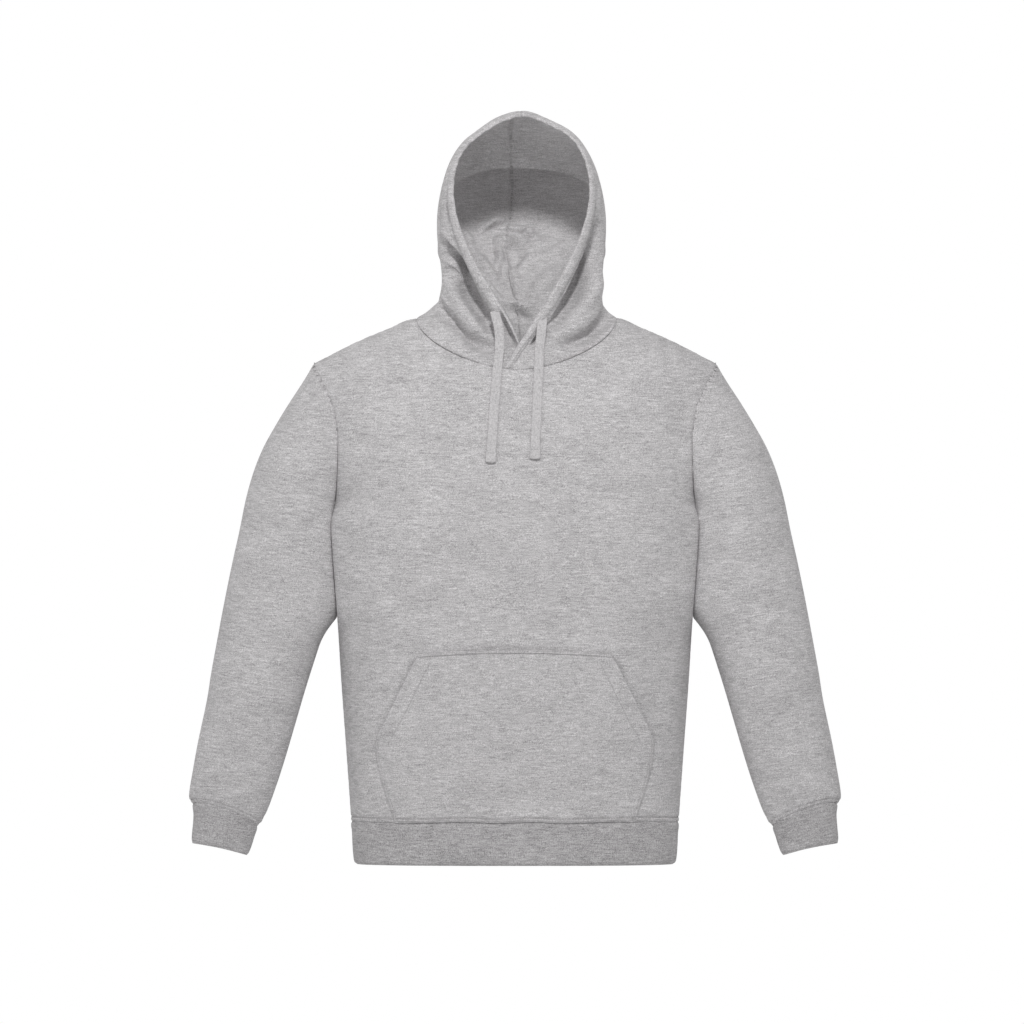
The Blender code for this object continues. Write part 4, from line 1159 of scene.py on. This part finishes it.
def makeCord(name, node, route):
    centre, run = smoothRoute(route, drawcord["rows"])
    ahead = unit(np.gradient(centre, axis=0))
    side = unit(np.array([1.0, 0, 0]) - ahead * ahead[:, :1])
    face = np.cross(side, ahead)
    face *= np.where(face[:, 1:2] > 0, -1, 1)
    left, end = run[-1] - run, drawcord["endLength"]
    fromSeam = left - end + drawcord["seamIn"]
    atEnd = 1 - ease(end - 1.0, end + 1.0, left)
    tip = np.sqrt(1 - np.clip(1 - left / drawcord["tipRound"], 0, 0.9) ** 2)
    width = (drawcord["width"] + (drawcord["endWidth"] - drawcord["width"]) * atEnd) * tip
    thick = (drawcord["thick"] + (drawcord["endThick"] - drawcord["thick"]) * atEnd) * tip
    thick = thick - drawcord["seamDepth"] * bell(fromSeam, drawcord["seamWidth"])
    turn = np.linspace(0, 2 * np.pi, drawcord["columns"] + 1)
    power = 2 / drawcord["squareness"]
    flatX, flatY = (np.sign(wave) * np.abs(wave) ** power for wave in (np.cos(turn), np.sin(turn)))
    points = (centre[None] + side[None] * (flatX[:, None] * width[None] / 2)[:, :, None]
              + face[None] * (flatY[:, None] * thick[None] / 2)[:, :, None])
    mesh, grid = gridMesh(name, points, closed=True)
    bmesh.ops.holes_fill(grid, edges=[edge for edge in grid.edges if edge.is_boundary], sides=0)
    bmesh.ops.recalc_face_normals(grid, faces=grid.faces)
    grid.to_mesh(mesh)
    grid.free()
    mesh.materials.append(cordCloth)
    shadeMesh(mesh)
    piece = newObject(name, mesh)
    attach(piece, "root")
    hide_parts(node)
    onFace = centre[np.abs(fromSeam).argmin()] + face[-1] * drawcord["thick"] / 2 * drawcord["stitchHeight"]
    half = drawcord["seamHalf"]
    seamLine = np.array([onFace + (x, 0, 0) for x in np.linspace(-half, half, 12)])
    stitches = sew(name + "Stitches", [(seamLine, np.repeat(face[-1:], 12, axis=0))])


makeCord("leftDrawcord", "drawcord_left", drawcord["left"])
makeCord("rightDrawcord", "drawcord_right", drawcord["right"])
print("drawcords made")


# Studio: a white surround, a soft lamp high in front and a pale floor out of the way

studio = {
    "floor": -1080, "floorSize": 1500, "floorColour": "#f4f4f4",
    "lamp": (0.08, -2.4, 1.68), "lampSize": 0.28, "lampPower": 54, "aim": (0, 0, -0.2),
    # how bright the surround is on each side: axis, way along it, brightness
    "surround": [
        (1, -1, 0.46), (1, 1, 0.8), (0, -1, 0.76), (0, 1, 0.46), (2, 1, 0.03), (2, -1, 0.28),
    ],
}


def addSurround():
    world = bpy.data.worlds.new("surround")
    world.use_nodes = True
    scene.world = world
    tree = world.node_tree
    tree.nodes.clear()
    rays = addNode(tree, "ShaderNodeLightPath")
    seen = addNode(tree, "ShaderNodeBackground", {"Color": (1, 1, 1, 1), "Strength": 1.0})
    place = addNode(tree, "ShaderNodeTexCoord").outputs["Generated"]
    way = addNode(tree, "ShaderNodeSeparateXYZ", {}, {0: place})
    strength = None
    for axis, sign, share in studio["surround"]:
        facing = addNode(tree, "ShaderNodeMath", {"operation": "MULTIPLY", "use_clamp": True, 1: sign},
                         {0: way.outputs[axis]}).outputs[0]
        before = {} if strength is None else {2: strength}
        strength = addNode(tree, "ShaderNodeMath", {"operation": "MULTIPLY_ADD", 1: share, 2: 0.0},
                           {0: facing, **before}).outputs[0]
    cast = addNode(tree, "ShaderNodeBackground", {"Color": (1, 1, 1, 1)}, {"Strength": strength})
    both = addNode(tree, "ShaderNodeMixShader", {}, {0: rays.outputs["Is Camera Ray"], 1: cast.outputs[0],
                                                     2: seen.outputs[0]})
    addNode(tree, "ShaderNodeOutputWorld", {}, {"Surface": both.outputs[0]})


def addStudio():
    scene.view_settings.view_transform = "Standard"
    addSurround()
    lamp = bpy.data.lights.new("softbox", "AREA")
    lamp.size = studio["lampSize"]
    lamp.energy = studio["lampPower"]
    softbox = newObject("softbox", lamp)
    softbox.location = studio["lamp"]
    aim = Vector(studio["aim"]) - Vector(studio["lamp"])
    softbox.rotation_euler = aim.to_track_quat("-Z", "Y").to_euler()
    floor = bmesh.new()
    bmesh.ops.create_circle(floor, cap_ends=True, segments=96, radius=studio["floorSize"] * mm)
    bmesh.ops.translate(floor, verts=floor.verts, vec=(0, 0, studio["floor"] * mm))
    mesh = bpy.data.meshes.new("floor")
    floor.to_mesh(mesh)
    floor.free()
    colour = toLinear(studio["floorColour"])
    mesh.materials.append(newMaterial("white_paper_floor", {"Base Color": colour, "Roughness": 0.9})[0])
    newObject("floor", mesh)


addStudio()
print("studio made")
